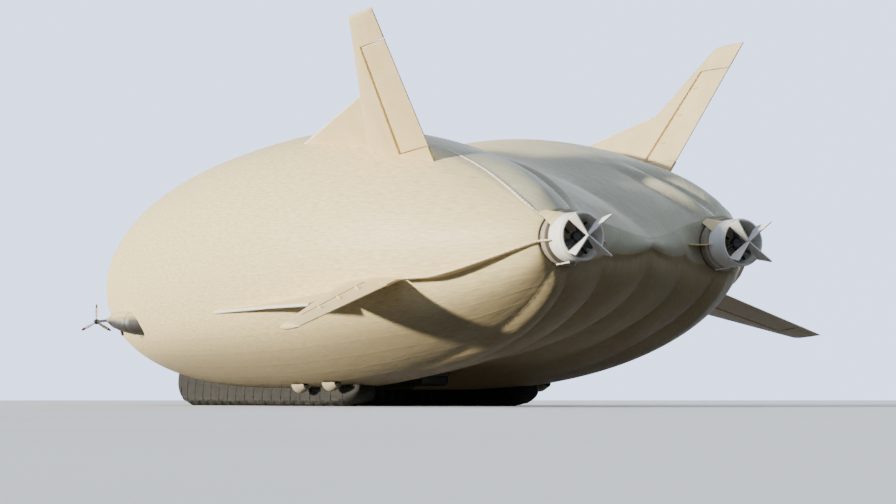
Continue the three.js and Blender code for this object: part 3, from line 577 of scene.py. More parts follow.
def make_nacelle_skin():
    """Cream on top, darkening to near black from the shaft's height down: painted shade on the underside."""
    s = Surface("nacelle_skin", 0.5)
    mottle = s.spread(s.noise(s.place(), 0.8, 4.0, 0.6), 0.3, 0.7)
    cream = s.blend(mottle, (0.70, 0.55, 0.28), (0.78, 0.63, 0.34))
    # Painted shade: the near-black colour that the skin takes below the shaft's height.
    dark = s.blend(mottle, (0.016, 0.013, 0.010), (0.03, 0.025, 0.02))
    low = s.spread(s.split(s.place(), 2), *NACELLE_PAINTED_SHADE)
    s.colour(s.blend(low, cream, dark))
    s.bump(mottle, 0.006)
    return s.material


def make_lace():
    """Pale lacing tape along the seams: cross stitches a hand apart."""
    s = Surface("lace_tape", 0.6)
    stitch = s.line(s.split(s.place(), 1), 0.34, 0.06)
    base = s.blend(stitch, (0.90, 0.81, 0.60), (0.46, 0.38, 0.25))
    base = s.blend(s.spread(s.noise(s.place(), 1.6, 3.0), 0.35, 0.7, 0.0, 0.4), base, (0.66, 0.60, 0.48))
    s.colour(base)
    s.bump(stitch, 0.03)
    return s.material


def make_blade():
    """Dark composite blade."""
    s = Surface("blade_black", 0.42)
    grain = s.noise(s.place(), 3.0, 4.0, 0.6)
    s.colour(s.tones(grain, (0.018, 0.018, 0.02), (0.04, 0.04, 0.043)))
    s.bump(grain, 0.006)
    return s.material


def make_glass():
    """Clear glass with a thin film of haze."""
    s = Surface("window_glass", 0.06, Transmission_Weight=0.85, IOR=1.45)
    film = s.noise(s.place(), 0.8, 3.0)
    s.colour(s.tones(film, (0.55, 0.62, 0.66), (0.66, 0.72, 0.75)))
    s.roughness(s.spread(film, 0.3, 0.7, 0.01, 0.05))
    return s.material


def make_metal(name, light, dark, roughness):
    """Metal brushed along its length."""
    s = Surface(name, roughness, 0.85)
    brushed = s.noise(s.place((8, 0.8, 8)), 1.0, 3.0, 0.6)
    s.colour(s.tones(brushed, dark, light))
    s.roughness(s.spread(brushed, 0.3, 0.7, roughness - 0.08, roughness + 0.1))
    s.bump(brushed, 0.004)
    return s.material


DARK_GRIME = (0.02, 0.018, 0.016)

hull_fabric = make_hull_fabric()
fin_skin = make_fin_skin()
skid_fabric = make_skid_fabric()
nacelle_skin = make_nacelle_skin()
lace_tape = make_lace()
blade_black = make_blade()
window_glass = make_glass()
duct_white = make_paint("duct_white", (0.86, 0.84, 0.78), (0.78, 0.75, 0.68), 0.4)
cone_brown = make_paint("cone_brown", (0.33, 0.275, 0.20), (0.26, 0.215, 0.155), 0.5)
groove_brown = make_paint("groove_brown", (0.09, 0.07, 0.05), (0.06, 0.047, 0.034), 0.6)
hull_cream = make_paint("hull_cream", (0.80, 0.65, 0.34), (0.72, 0.565, 0.28), 0.5)
# The hoods' cream: a darker copy of the hull's cream, as painted shade.
hood_shaded_cream = make_paint("hood_shaded_cream", (0.40, 0.335, 0.22), (0.32, 0.265, 0.17), 0.5)
cabin_grey = make_paint("cabin_grey", (0.072, 0.066, 0.056), (0.045, 0.042, 0.037), 0.42,
                        DARK_GRIME, 1.6)
module_grey = make_paint("module_grey", (0.06, 0.055, 0.047), (0.038, 0.035, 0.031), 0.5,
                         DARK_GRIME)
trim_black = make_paint("trim_black", (0.016, 0.016, 0.017), (0.009, 0.009, 0.01), 0.35)
tip_red = make_paint("tip_red", (0.24, 0.035, 0.03), (0.16, 0.02, 0.018), 0.4)
blade_pale = make_paint("blade_pale", (0.80, 0.80, 0.79), (0.70, 0.70, 0.69), 0.4)
seat_cloth = make_paint("seat_cloth", (0.10, 0.11, 0.13), (0.06, 0.07, 0.085), 0.85)
cabin_lining = make_paint("cabin_lining", (0.55, 0.54, 0.50), (0.46, 0.45, 0.42), 0.7)
bare_metal = make_metal("bare_metal", (0.42, 0.43, 0.45), (0.28, 0.29, 0.30), 0.38)
dark_metal = make_metal("dark_metal", (0.11, 0.11, 0.115), (0.06, 0.06, 0.063), 0.42)


# ---- Hull ----


def hull_at(y):
    """The lobe's centre, reaches, valley and keel line at one station."""
    if y < WIDEST_Y:
        d = clamp((WIDEST_Y - y) / (WIDEST_Y - NOSE_Y))
        radius = LOBE_RADIUS * sqrt(max(1 - d ** NOSE_POWER, 1e-4))
        z = LOBE_Z["nose"] * d * d
        x = mix(LOBE_X["widest"], LOBE_X["nose"], d * d)
        return dict(x=x, z=z, side=radius, up=radius, down=radius,
                    top=z + VALLEY_SHARE * radius, bottom=z - KEEL_SHARE * radius, s=0.0)
    s = clamp((y - WIDEST_Y) / (TAIL_Y - WIDEST_Y))
    left = 1 - s * s
    reach = {k: TAIL_RADIUS + (LOBE_RADIUS - TAIL_RADIUS) * left ** TAPER[k] for k in ("side", "up", "down")}
    return dict(x=mix(LOBE_X["widest"], LOBE_X["tail"], s ** 1.5), z=LOBE_Z["tail"] * s ** 1.5, **reach,
                top=mix(TRAILING_EDGE["top"], VALLEY_SHARE * LOBE_RADIUS, left ** TAPER["up"]),
                bottom=mix(TRAILING_EDGE["bottom"], -KEEL_SHARE * LOBE_RADIUS, left ** TAPER["keel"]), s=s)


def surface_z(h, x, upper):
    """Height of the hull's upper or lower surface at a distance from the middle plane."""
    reach = h["up"] if upper else -h["down"]
    if x >= h["x"]:
        u = min(1.0, (x - h["x"]) / h["side"])
        return h["z"] + reach * sqrt(1 - u * u)
    return mix(h["top"] if upper else h["bottom"], h["z"] + reach, smooth(x / h["x"]))


def crease_angle(h, kind):
    """Where on the lobe a crease lies: its angle goes from the widest station's to the tail's."""
    widest, tail, late = kind
    return radians(mix(widest, tail, h["s"] ** late))


def on_lobe(h, angle):
    return (h["x"] + h["side"] * cos(angle),
            h["z"] + (h["down"] if angle < 0 else h["up"]) * sin(angle))


def inner_crease(h):
    return h["x"] - CREASE_INNER * min(1.0, h["side"] / CREASE_FULL)


def grown(change, y):
    """How much of a change along the hull there is at y, from 0 to 1."""
    start, length = CHANGES[change]
    return smooth((y - start) / length)


def half_section(y):
    """(x, z, zone, wrinkle mask) from the keel round the lobe to the valley: zone is 1 above and -1
    underneath; the mask places wrinkles and their painted highlight.
    """
    h = hull_at(y)
    low, high = crease_angle(h, CREASE_BOTTOM), crease_angle(h, CREASE_TOP)
    inner = inner_crease(h)
    wrinkling_and_highlight = grown("wrinkling_and_highlight", y)
    out = []

    def spans(knots, steps, upper, start):
        swell = SCALLOP_DEPTH * smooth((y - start) / (SCALLOP_FULL - start))
        if upper:
            swell *= 1 - 0.7 * grown("flat", y)
        for x0, x1, count in zip(knots, knots[1:], steps):
            for i in range(count):
                u = i / count
                x = mix(x0, x1, u)
                lift = swell * 4 * u * (1 - u)
                near = abs(2 * u - 1) ** 3
                z = surface_z(h, x, upper)
                out.append((x, z + lift if upper else z - lift, 1.0 if upper else -1.0, wrinkling_and_highlight * near))

    below = [0.0, inner * CREASE_LOW_SHARE, inner, on_lobe(h, low)[0]]
    above = [on_lobe(h, high)[0], inner, inner * CREASE_TOP_SHARE, 0.0]
    spans(below, (SPAN_STEPS, SPAN_STEPS, SPAN_STEPS), False, SCALLOP_START)
    for i in range(LOBE_STEPS):
        u = i / LOBE_STEPS
        near = max(0, 1 - 14 * min(u, 1 - u))
        out.append((*on_lobe(h, mix(low, high, u)), smooth((u - 0.93) / 0.07), wrinkling_and_highlight * near))
    spans(above, (SPAN_STEPS, SPAN_STEPS, CROWN_STEPS), True, SCALLOP_TOP_START)
    out.append((0.0, surface_z(h, 0.0, True), 1.0, wrinkling_and_highlight))
    return h, np.array(out)


def bow(y, x, h):
    """How far aft a point of the ring stands: the nose cleft and the bowed stern between the lobes."""
    nose = CLEFT_DEPTH * clamp(1 - (y - NOSE_Y) / CLEFT_LENGTH) ** 2
    shift = nose + BOW_DEPTH * h["s"] ** BOW_POWER
    return shift * (1 - smooth(abs(x) / (h["x"] - TAIL_RADIUS)))


def make_hull():
    """The fabric skin; its zones attribute holds, from 0 to 1, the crown's painted shade, the wrinkles with
    their painted highlight, and the underside's painted shade.
    """
    rows, uv, zones = [], [], []
    for k in range(STATIONS + 1):
        y = mix(NOSE_Y, TAIL_Y, (1 - cos(pi * k / STATIONS)) / 2)
        h, half = half_section(y)
        step = np.hypot(*np.diff(half[:, :2], axis=0).T)
        girth = np.concatenate([[0], np.cumsum(step)])
        girth *= HALF_GIRTH / girth[-1]
        # Painted shade: the crown's grey above and the underside's dark below.
        crown = np.maximum(half[:, 2], 0) * grown("crown", y)
        under = np.maximum(-half[:, 2], 0) * grown("under", y)
        height = (half[:, 1] - h["z"]) / mix(LOBE_RADIUS, h["down"], grown("slim", y))
        belly = np.array([smooth((BELLY_START - t) / BELLY_BLEND) for t in height])
        port = [(x, y + bow(y, x, h), z) for x, z in half[:, :2]]
        star = [(-x, py, z) for x, py, z in port[1:-1]][::-1]
        marks = np.column_stack([crown, half[:, 3], np.maximum(belly, under), np.ones(len(half))])
        rows.append(port + star)
        along = np.column_stack([girth, np.full(len(girth), y)])
        uv.append(np.vstack([along, along[1:-1][::-1]]))
        zones.append(np.vstack([marks, marks[1:-1][::-1]]))
    points, faces = rings(rows, caps=False)
    around, half = len(rows[0]), len(rows[0]) // 2
    for k in range(half // 2):
        port = (k, k + 1, half - 1 - k, half - k)
        for side in (port, [(around - i) % around for i in port][::-1]):
            # The last face of the strip at the nose is a triangle: its repeated corner goes.
            faces.append(tuple(dict.fromkeys(side)))
    edge, edge_uv, edge_zones = trailing_edge(np.array(rows[-1][:half + 1]), uv[-1], zones[-1])
    piece("hull_skin", [((points, faces), hull_fabric), (edge, hull_fabric), (mirrored(edge), hull_fabric)],
          replaces=("envelope_port", "envelope_starboard"), slot="hull_fabric", sharp=60,
          uv=np.vstack([*uv, edge_uv, edge_uv]), zones=np.vstack([*zones, edge_zones, edge_zones]))


def trailing_edge(ring, uv, zones):
    """The rounded fold that closes the port half of the last ring, from its crown down to its underside."""
    half = len(ring) - 1
    drops = np.linspace(0, 1, 11)
    points, at, marks = [], [], []
    for k in range(half // 2 + 1):
        low, high = ring[k], ring[half - k]
        middle = 1 - smooth((abs(low[0] + high[0]) / 2 - FOLD_FLAT) / FOLD_FADE)
        for u in drops:
            point = mix(high, low, u)
            point[1] += TRAILING_BULGE * middle * sin(pi * u) * min(1.0, (high[2] - low[2]) / 1.2)
            points.append(point)
            at.append(uv[half - k] + [0.0, 1.5 * u])
            # Painted shade: the fold is grey like the crown down to its lower part, which is dark like the
            # underside.
            dark = smooth((u - 0.7) / 0.1)
            marks.append([1 - dark, 0.3, dark * zones[k][2], 1.0])
    m = len(drops)
    return (np.array(points), grid(half // 2 + 1, m)), np.array(at), np.array(marks)


make_hull()


def seam(line, start, end, steps=40):
    """Points along a crease, from a function of the station's measures to (x, z)."""
    out = []
    for k in range(steps + 1):
        y = mix(start, end, k / steps)
        h = hull_at(y)
        x, z = line(h)
        out.append((x, y + bow(y, x, h), z))
    return out


OUTER_LACING, INNER_LACING = (28.6, 41.9), (31.0, 42.1)


def make_seams():
    """Laced tapes in the creases: from the upper fin's root to the duct, and beside it to the duct's top."""
    outer = seam(lambda h: on_lobe(h, crease_angle(h, CREASE_TOP)), *OUTER_LACING)
    inner = seam(lambda h: (inner_crease(h), surface_z(h, inner_crease(h), True)), *INNER_LACING)
    wide = [0.06 + 0.14 * t - 0.17 * smooth((t - 0.88) / 0.12) for t in np.linspace(0, 1, len(outer))]
    both("crown_lacing", [(tube(outer, wide, 10, 0.6), lace_tape), (tube(inner, 0.17, 10, 0.6), lace_tape)],
         slot="hull_fabric")


make_seams()


# ---- Skids and scoops ----

SKID_X, SKID_START, SKID_WIDTH, SKID_SOLE, SKID_NOSE = 7.4, -29.0, 3.0, 1.5, 5.0
SKID_CELL, SKID_CELLS, CELL_RINGS = 2.1, 20, 14
SKID_END = SKID_START + SKID_CELL * SKID_CELLS
# Where the cushion is widest, as a share of its height, and how far its top goes into the hull.
SKID_SHOULDER, SKID_INSIDE = 0.42, 0.35
# The slack shape's share of the full width, and how far the fabric may swell, in the frame's metres.
SKID_SLACK, SKID_SWELL = 0.94, 0.012
CLOTH_PRESSURE, CLOTH_GROWTH, CLOTH_FRAMES = 4.0, 0.04, 20
TAPE_RADIUS = 0.035


def inflated(points, faces, held, reach):
    """Points in the frame once the cloth has swelled: held ones stay, and none moves past the reach."""
    obj = linked("cushion", mesh_of("cushion", points, faces))
    obj.vertex_groups.new(name="held").add([int(i) for i in held], 1.0, "REPLACE")
    cloth = obj.modifiers.new("cloth", "CLOTH")
    cloth.settings.vertex_group_mass = "held"
    cloth.settings.use_pressure = True
    cloth.settings.uniform_pressure_force = CLOTH_PRESSURE
    cloth.settings.shrink_min = -CLOTH_GROWTH
    cloth.settings.effector_weights.gravity = 0.0
    for number in range(1, CLOTH_FRAMES + 1):
        bpy.context.scene.frame_set(number)
    done = obj.evaluated_get(bpy.context.evaluated_depsgraph_get())
    swelled = np.empty(len(points) * 3)
    done.data.vertices.foreach_get("co", swelled)
    bpy.context.scene.frame_set(1)
    bpy.data.objects.remove(obj)
    moves = swelled.reshape(-1, 3) - points
    size = np.maximum(np.linalg.norm(moves, axis=1), 1e-9)[:, None]
    out = points + moves * reach * np.tanh(size / reach) / size
    out[:, 2] = np.maximum(out[:, 2], 0.0)
    return out


def skid_ring(y):
    """A ring of the slack cushion: up one side from the sole to inside the hull, and down the other."""
    near = clamp(min(y - SKID_START, SKID_END - y) / SKID_NOSE)
    swell = mix(0.2, 1, sqrt(1 - (1 - near) ** 2))
    roof = surface_z(hull_at(y), SKID_X, False)
    low = mix(roof, FLOOR, swell)
    pinch = abs(cos(pi * (y - SKID_START) / SKID_CELL)) ** 18
    half = (SKID_WIDTH / 2) * SKID_SLACK * mix(0.3, 1, swell) * (1 - 0.03 * pinch)
    sole = min(SKID_SOLE / 2, half / 2)
    side = [(sole * t, low) for t in (0.5, 1.0)]
    for t in np.linspace(0.12, 1, 14):
        a = pi / 2 * t
        side.append((sole + (half - sole) * sin(a), low + (roof - low) * SKID_SHOULDER * (1 - cos(a))))
    for t in np.linspace(0.15, 1, 8):
        side.append((half * (1 - 0.16 * t ** 2.5), mix(mix(low, roof, SKID_SHOULDER), roof + SKID_INSIDE, t)))
    return [(SKID_X + x, y, z) for x, z in side] + [(SKID_X - x, y, z) for x, z in side[::-1]]


def make_skids():
    """Cushions sewn into cells: a cloth simulation swells the fabric between the seams."""
    places = []
    for cell in range(SKID_CELLS):
        for u in np.linspace(0, 1, CELL_RINGS, endpoint=False):
            eased = u * u if cell == 0 else 1 - (1 - u) ** 2 if cell == SKID_CELLS - 1 else u
            places.append(SKID_START + SKID_CELL * (cell + eased))
    places.append(SKID_END)
    rows = np.array([skid_ring(y) for y in places])
    count = rows.shape[1]
    points, faces = rings(rows)
    at = np.arange(len(points)) % count
    from_end = np.minimum(at, count - 1 - at)
    ring = np.arange(len(points)) // count
    kept = (ring % CELL_RINGS == 0) | (ring < CELL_RINGS) | (ring > len(rows) - 1 - CELL_RINGS)
    held = np.nonzero(kept | (from_end < 2) | (from_end > count // 2 - 4))[0]
    swelled = inflated(to_frame(points), faces, held, SKID_SWELL)
    cushion = swelled / SCALE - ORIGIN, faces
    seams = rows[CELL_RINGS:-1:CELL_RINGS]
    tapes = [tube(row[[*range(count), 0]], TAPE_RADIUS, 6, up=(0, 1, 0)) for row in seams]
    tape_points, tape_faces = joined(*tapes)
    tape_points[:, 2] = np.maximum(tape_points[:, 2], FLOOR)
    for obj in both("skid_cushion", [(cushion, skid_fabric), ((tape_points, tape_faces), skid_fabric)],
                    replaces=("landing_skid_{side}",), slot="skid_fabric", sharp=50):
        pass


make_skids()

# Scoops: place along the length and across. A hood's rows: share of its length, half width, depth.
SCOOPS = ((4.9, 9.7), (10.7, 9.5))
SCOOP_LENGTH, SCOOP_WALL = 2.6, 0.07
HOOD = ((0.0, 0.06, 0.05), (0.04, 0.22, 0.2), (0.1, 0.36, 0.36), (0.18, 0.47, 0.52), (0.28, 0.55, 0.64),
        (0.4, 0.59, 0.71), (0.52, 0.59, 0.72), (0.64, 0.56, 0.68), (0.76, 0.50, 0.59), (0.88, 0.43, 0.48),
        (1.0, 0.36, 0.36))


def make_scoop(y0, x0):
    """A hood under the lobe that falls towards its small mouth at the aft end."""
    z0 = surface_z(hull_at(y0), x0, False)
    skins = []
    for wall in (0.0, SCOOP_WALL):
        rows = []
        for t, half, depth in HOOD:
            y = y0 + (t - 0.5) * SCOOP_LENGTH + (wall if t < 0.5 else 0.0)
            ring = []
            for a in np.linspace(0, pi, 21):
                x = x0 + max(0.02, half - wall) * cos(a)
                roof = surface_z(hull_at(y), x, False) + 0.06
                ring.append((x, y, min(roof, z0 - max(0.02, depth - wall) * sin(a))))
            rows.append(ring)
        skins.append(np.array(rows))
    outer, inner = skins
    n, m = outer.shape[:2]
    total = n * m
    skin = grid(n, m)
    lips = [(a, a + 1) for i in range(m - 1) for a in ((n - 1) * m + i, i)]
    lips += [(a, a + m) for r in range(n - 1) for a in (r * m, r * m + m - 1)]
    lining = [tuple(total + i for i in face) for face in skin]
    lining += [(a, b, total + b, total + a) for a, b in lips]
    outside = outer.reshape(-1, 3)
    both_skins = np.vstack([outside, inner.reshape(-1, 3)])
    mouth = tube((outer[-1] + inner[-1]) / 2, 0.05, 8)
    throat = ball((x0, y0 + 0.75, z0 + 0.02), (0.3, 0.5, 0.1), 8, 16)
    # The hood's outside and mouth take the darker cream: painted shade.
    return [((outside, skin), hood_shaded_cream), ((both_skins, lining), trim_black), (mouth, hood_shaded_cream),
            (throat, trim_black)]


for number, (scoop_y, scoop_x) in enumerate(SCOOPS, 1):
    both(f"scoop_hood_{number}", make_scoop(scoop_y, scoop_x), replaces=(f"valve_scoop_{number}_{{side}}",),
         slot="duct_white")


# ---- Fins and control surfaces ----


def row_at(kind, reach):
    """Leading edge, trailing edge and thickness of a fin at a reach."""
    a, b = FIN_ROWS[kind]
    t = (reach - a[0]) / (b[0] - a[0])
    return [mix(a[k], b[k], t) for k in (1, 2, 3)]


def profile_share(c):
    """Half thickness along the chord as a share of the whole: a round nose, then the solids' profile."""
    full = 0.35
    if c < full:
        return 0.5 * (0.12 + 0.88 * sqrt(max(0.0, 1 - (1 - c / full) ** 2.4)))
    return 0.5 * float(np.interp(c, *np.array(FIN_PROFILE).T))


def hinge_at(kind, reach):
    """The hinge's place along y, the trailing edge and the thickness there."""
    _, start, end, root, tip = SURFACES[kind]
    lead, trail, thick = row_at(kind, reach)
    y = trail - mix(root, tip, (reach - start) / (end - start))
    share = float(np.interp((y - lead) / (trail - lead), *np.array(FIN_PROFILE).T))
    return y, trail, thick * share


def tilt(shape, kind):
    """A shape from the fin's own plane, with reach along x, to its place on the port side."""
    a = radians(FIN_ANGLE[kind])
    x, y, z = np.asarray(shape[0]).T
    return np.column_stack([FIN_AXIS_X + x * cos(a) - z * sin(a), y,
                            FIN_AXIS_Z + x * sin(a) + z * cos(a)]), shape[1]


def fin_blank(kind):
    """The whole fin with a rounded nose and tip, before it is notched."""
    tip = FIN_ROWS[kind][1][0]
    rows = []
    for reach in [*np.linspace(6.0, tip - 0.25, 30), tip - 0.15, tip - 0.07, tip - 0.02, tip]:
        lead, trail, thick = row_at(kind, reach)
        left = clamp((tip - reach) / 0.25)
        thin = sqrt(max(0.02, 1 - (1 - left) ** 2))
        chords = [0.5 * (1 - cos(pi * k / 28)) for k in range(29)]
        upper = [(reach, mix(lead, trail, c), profile_share(c) * thick * thin) for c in chords]
        rows.append(doubled(upper, 1, 1, -1))
    return rings(rows)


def hinge_rods(kind, out, into, radius):
    """A rod on the hinge's line at each end of the surface, from outside that end to inside it."""
    _, start, end, *_ = SURFACES[kind]
    return [tube([(reach, hinge_at(kind, reach)[0], 0) for reach in reaches], radius, 16)
            for reaches in ((start - out, start + into), (end - into, end + out))]


def make_fin(kind):
    """The fixed fin, notched for its control surface, with its root plate, pale edges and hinge pins."""
    _, start, end, *_ = SURFACES[kind]
    low, high = start - SLOT, end + SLOT

    def front(reach):
        y, _, thick = hinge_at(kind, reach)
        return y - NOSE_SHARE * thick - SLOT

    corners = [(low, front(start)), (high, front(end)), (high, AFT_OF_FINS), (low, AFT_OF_FINS)]
    notch = slab(corners, -2, 2)
    plate = slab([(reach, y) for y, reach in ROOT_PLATES[kind]], -0.15, 0.15, "xy", 0.1)
    plate_edge = [(reach, y, 0) for y, reach in ROOT_PLATES[kind][1:-1]]
    tip = FIN_ROWS[kind][1][0]
    lead = [(reach, row_at(kind, reach)[0] + 0.1, 0) for reach in np.linspace(8.0, tip - 0.12, 30)]
    lead_radii = [0.17 - 0.006 * k / 3 for k in range(30)]
    edges = [tube(plate_edge, 0.13, 10, 0.9), tube(lead, lead_radii, 12, 0.95)]
    pins = hinge_rods(kind, SLOT + 0.3, 0.4, HINGE_RADIUS)
    groups = (([carved(fin_blank(kind), [notch]), plate], fin_skin), (edges, duct_white), (pins, bare_metal))
    parts = [(tilt(shape, kind), material) for shapes, material in groups for shape in shapes]
    both(f"{kind}_fin_skin", parts, replaces=(f"{kind}_fin_{{side}}",), slot="fin_skin", sharp=35)


def make_surface(kind):
    """The rudder or elevator, bored for its hinge pins, with three small horns."""
    name, start, end, *_ = SURFACES[kind]
    rows = []
    for reach in [start, start + 0.03, *np.linspace(start + 0.2, end - 0.2, 24), end - 0.03, end]:
        y, trail, thick = hinge_at(kind, reach)
        thin = 0.93 if reach in (start, end) else 1.0
        nose = [(reach, y - NOSE_SHARE * thick * cos(a), thick / 2 * sin(a) * thin)
                for a in np.linspace(0.05, pi / 2, 9)]
        flat = [(reach, mix(y, trail, t), mix(thick / 2, 0.035, t) * thin) for t in np.linspace(0, 1, 12)[1:]]
        rows.append(doubled(nose + flat, 1, 1, -1))
    shapes = [carved(rings(rows), hinge_rods(kind, 0.2, 0.47, BORE_RADIUS))]
    for share in (0.2, 0.5, 0.8):
        reach = mix(start, end, share)
        y, _, thick = hinge_at(kind, reach)
        horn = [(y + 0.1, thick / 2 - 0.1), (y + 0.9, thick * 0.36), (y + 0.55, thick / 2 + 0.16),
                (y + 0.4, thick / 2 + 0.16)]
        shapes.append(slab(horn, reach - 0.05, reach + 0.05, "yz", 0.02))
    parts = [(tilt(shape, kind), fin_skin) for shape in shapes]
    both(f"{name}_skin", parts, body=f"{name}_{{side}}", replaces=(f"{name}_{{side}}",), slot="fin_skin",
         sharp=35)


for fin_kind in ("upper", "lower"):
    make_fin(fin_kind)
    make_surface(fin_kind)


# ---- Stern units ----


def blade_shape(rows, pitch, count, centre):
    """A propeller's blades about a line along y. Rows: reach, chord, thickness, twist in degrees."""
    section = [(0.5 * cos(t), 0.5 * sin(t) * (0.62 + 0.38 * cos(t))) for t in circle(24)]
    skins = []
    for reach, chord, thick, twist in rows:
        a = radians(pitch + twist)
        ring = []
        for c, t in section:
            px, py = c * chord, t * thick
            ring.append((px * cos(a) - py * sin(a), px * sin(a) + py * cos(a), reach))
        skins.append(ring)
    one = rings(skins)
    return [moved(turned(one, 360 * i / count), centre) for i in range(count)]


def on_engine(shape, angle):
    """A shape drawn about the y axis, turned and moved to the engine's axis."""
    return moved(turned(shape, angle), ENGINE * [1, 0, 1])


def make_web(start, angle, spread):
    """A fabric web from a point of a crease to the duct's rim, flaring as it goes."""
    dx, dz = start[0] - ENGINE[0], start[2] - ENGINE[2]
    rim_at = radians(angle)
    first = atan2(dz, dx)
    first += 2 * pi * round((rim_at - first) / (2 * pi))
    rows = []
    for t in np.linspace(0, 1, 20):
        middle = mix(first, rim_at, t)
        radius = mix(hypot(dx, dz) + 0.03, DUCT_OUTER + 0.025, t ** 0.72)
        half = radians(mix(1.2, spread, t ** 2.8))
        y = mix(start[1], DUCT_START + 0.3, t)
        arc = [middle + half * share for share in np.linspace(-1, 1, 9)]
        edge = [(radius, a) for a in arc] + [(radius - 0.04, a) for a in arc[::-1]]
        rows.append([(ENGINE[0] + r * cos(a), y, ENGINE[2] + r * sin(a)) for r, a in edge])
    return rings(rows)


WEB_START = 39.9


def make_webs():
    """Two webs at each duct, where the crown's creases end."""
    h = hull_at(WEB_START)
    inner = inner_crease(h) * CREASE_TOP_SHARE
    # Where each web starts, the angle at which it meets the duct, and how far it spreads there.
    ends = ((on_lobe(h, crease_angle(h, CREASE_TOP)), 50, 26), ((inner, surface_z(h, inner, True)), 132, 20))
    webs = [make_web((x, WEB_START + bow(WEB_START, x, h), z), angle, spread)
            for (x, z), angle, spread in ends]
    both("duct_webs", [(joined(*webs), hull_cream)], slot="hull_fabric", sharp=40)


def make_cone():
    """The tail cone and its seat in the hull, drawn as rows of radius and y, with a ring of bolts."""
    seat = [(0.0, 42.0), (1.84, 42.0), (1.84, 42.2), (1.8, 42.22), (1.8, 42.44), (0.0, 42.44)]
    cone = [(0.0, 42.44), (1.84, 42.44), (1.88, 42.5), (1.88, 42.6), (1.85, 42.95), (1.76, 43.02),
            (1.5, 43.08), (1.15, 43.16), (0.8, 43.26), (0.62, 43.29), (0.42, 43.3), (0.42, 43.74),
            (0.38, 43.78), (0.2, 43.78), (0.2, 44.2), (0.0, 44.2)]
    bolt = ball((1.87, 42.56, 0), (0.03, 0.045, 0.03), 6, 10)
    bolts = [on_engine(bolt, 360 * k / 24) for k in range(24)]
    parts = [(lathe(seat, ENGINE, 96), groove_brown), (lathe(cone, ENGINE, 96), cone_brown),
             (joined(*bolts), dark_metal)]
    both("engine_cone", parts, replaces=("tail_cone_{side}",), slot="cone_brown", sharp=30)


def make_duct():
    """The duct's barrel with a rounded lip, two bands, four struts to the cone and two brackets below."""
    lip = [(1.58 + 0.08 * cos(a), DUCT_START + 0.09 - 0.09 * sin(a))
           for a in np.linspace(0, pi, 9)]
    outer = [(1.62, DUCT_END - 0.02), (1.64, 44.6), (1.658, 44.0), (1.66, 43.5)]
    inner = [(1.5, 43.4), (1.49, 43.8), (1.49, 44.6), (1.5, DUCT_END - 0.02)]
    end = [(1.52, DUCT_END), (1.6, DUCT_END)]
    barrel = lathe(outer + lip + inner + end, ENGINE, 128)
    bands = [lathe([(1.63, y), (1.668, y + 0.012), (1.668, y + 0.06), (1.63, y + 0.072)], ENGINE, 96)
             for y in (43.36, 44.7)]
    wing = [(-0.06 * sin(t), 43.53 + 0.17 * cos(t)) for t in circle(20)]
    strut = rings([[(r, y, x) for x, y in wing] for r in (0.35, 0.9, 1.53)])
    struts = [on_engine(strut, 45 + 90 * k) for k in range(4)]
    bracket = [tube([ENGINE + [0.25 * lean, 43.6, -1.68], ENGINE + [0.7 * lean, 42.6, -1.8]], 0.06, 10)
               for lean in (-1, 1)]
    parts = [(barrel, duct_white), (joined(*bands, *bracket), duct_white), (joined(*struts), trim_black)]
    both("duct_barrel", parts, replaces=("stern_duct_{side}",), slot="duct_white", sharp=40)


def make_stern_rotor():
    """The port stern propeller: a hub of radius and y, and three blades."""
    hub = [(0.0, 44.2), (0.215, 44.2), (0.215, 43.87), (0.36, 43.87), (0.4, 43.93), (0.4, 44.16),
           (0.34, 44.28), (0.22, 44.36), (0.1, 44.4), (0.0, 44.4)]
    rows = [(0.3, 0.26, 0.16, 20), (0.5, 0.42, 0.13, 14), (0.8, 0.5, 0.10, 5), (1.1, 0.42, 0.07, -4),
            (1.32, 0.3, 0.045, -9), (1.41, 0.16, 0.02, -11)]
    blades = blade_shape(rows, 35, 3, ENGINE + [0, STERN_PROP_Y, 0])
    parts = [(lathe(hub, ENGINE, 48), trim_black), (joined(*blades), blade_black)]
    both("stern_rotor", parts, body="stern_propeller_{side}", replaces=("stern_propeller_{side}",),
         slot="blade_black")


def make_vanes():
    """Four swept vanes in a cross behind the duct, each with its pin."""
    vane = slab([(reach, DUCT_END + behind) for reach, behind in VANE_OUTLINE], -0.045, 0.045, "xy", 0.03)
    pin = tube([(0.9, DUCT_END + 0.14, 0), (1.6, DUCT_END + 0.06, 0)], 0.06, 10)
    cross = [on_engine(joined(vane, pin), 45 + 90 * k) for k in range(4)]
    both("vane_cross", [(joined(*cross), duct_white)], replaces=("vane_set_{side}",), slot="duct_white",
         sharp=35)


make_webs()
make_cone()
make_duct()
make_stern_rotor()
make_vanes()


# ---- Front units ----


def nacelle_ring(k, turns, proud=0.0):
    """A ring of the nacelle at a fractional row of its table."""
    i = min(int(k), len(NACELLE) - 2)
    x, y, z, r = (mix(a, b, k - i) for a, b in zip(NACELLE[i], NACELLE[i + 1]))
    r += proud
    return [(x + r * cos(a), y, z + r * 0.97 * sin(a)) for a in turns]


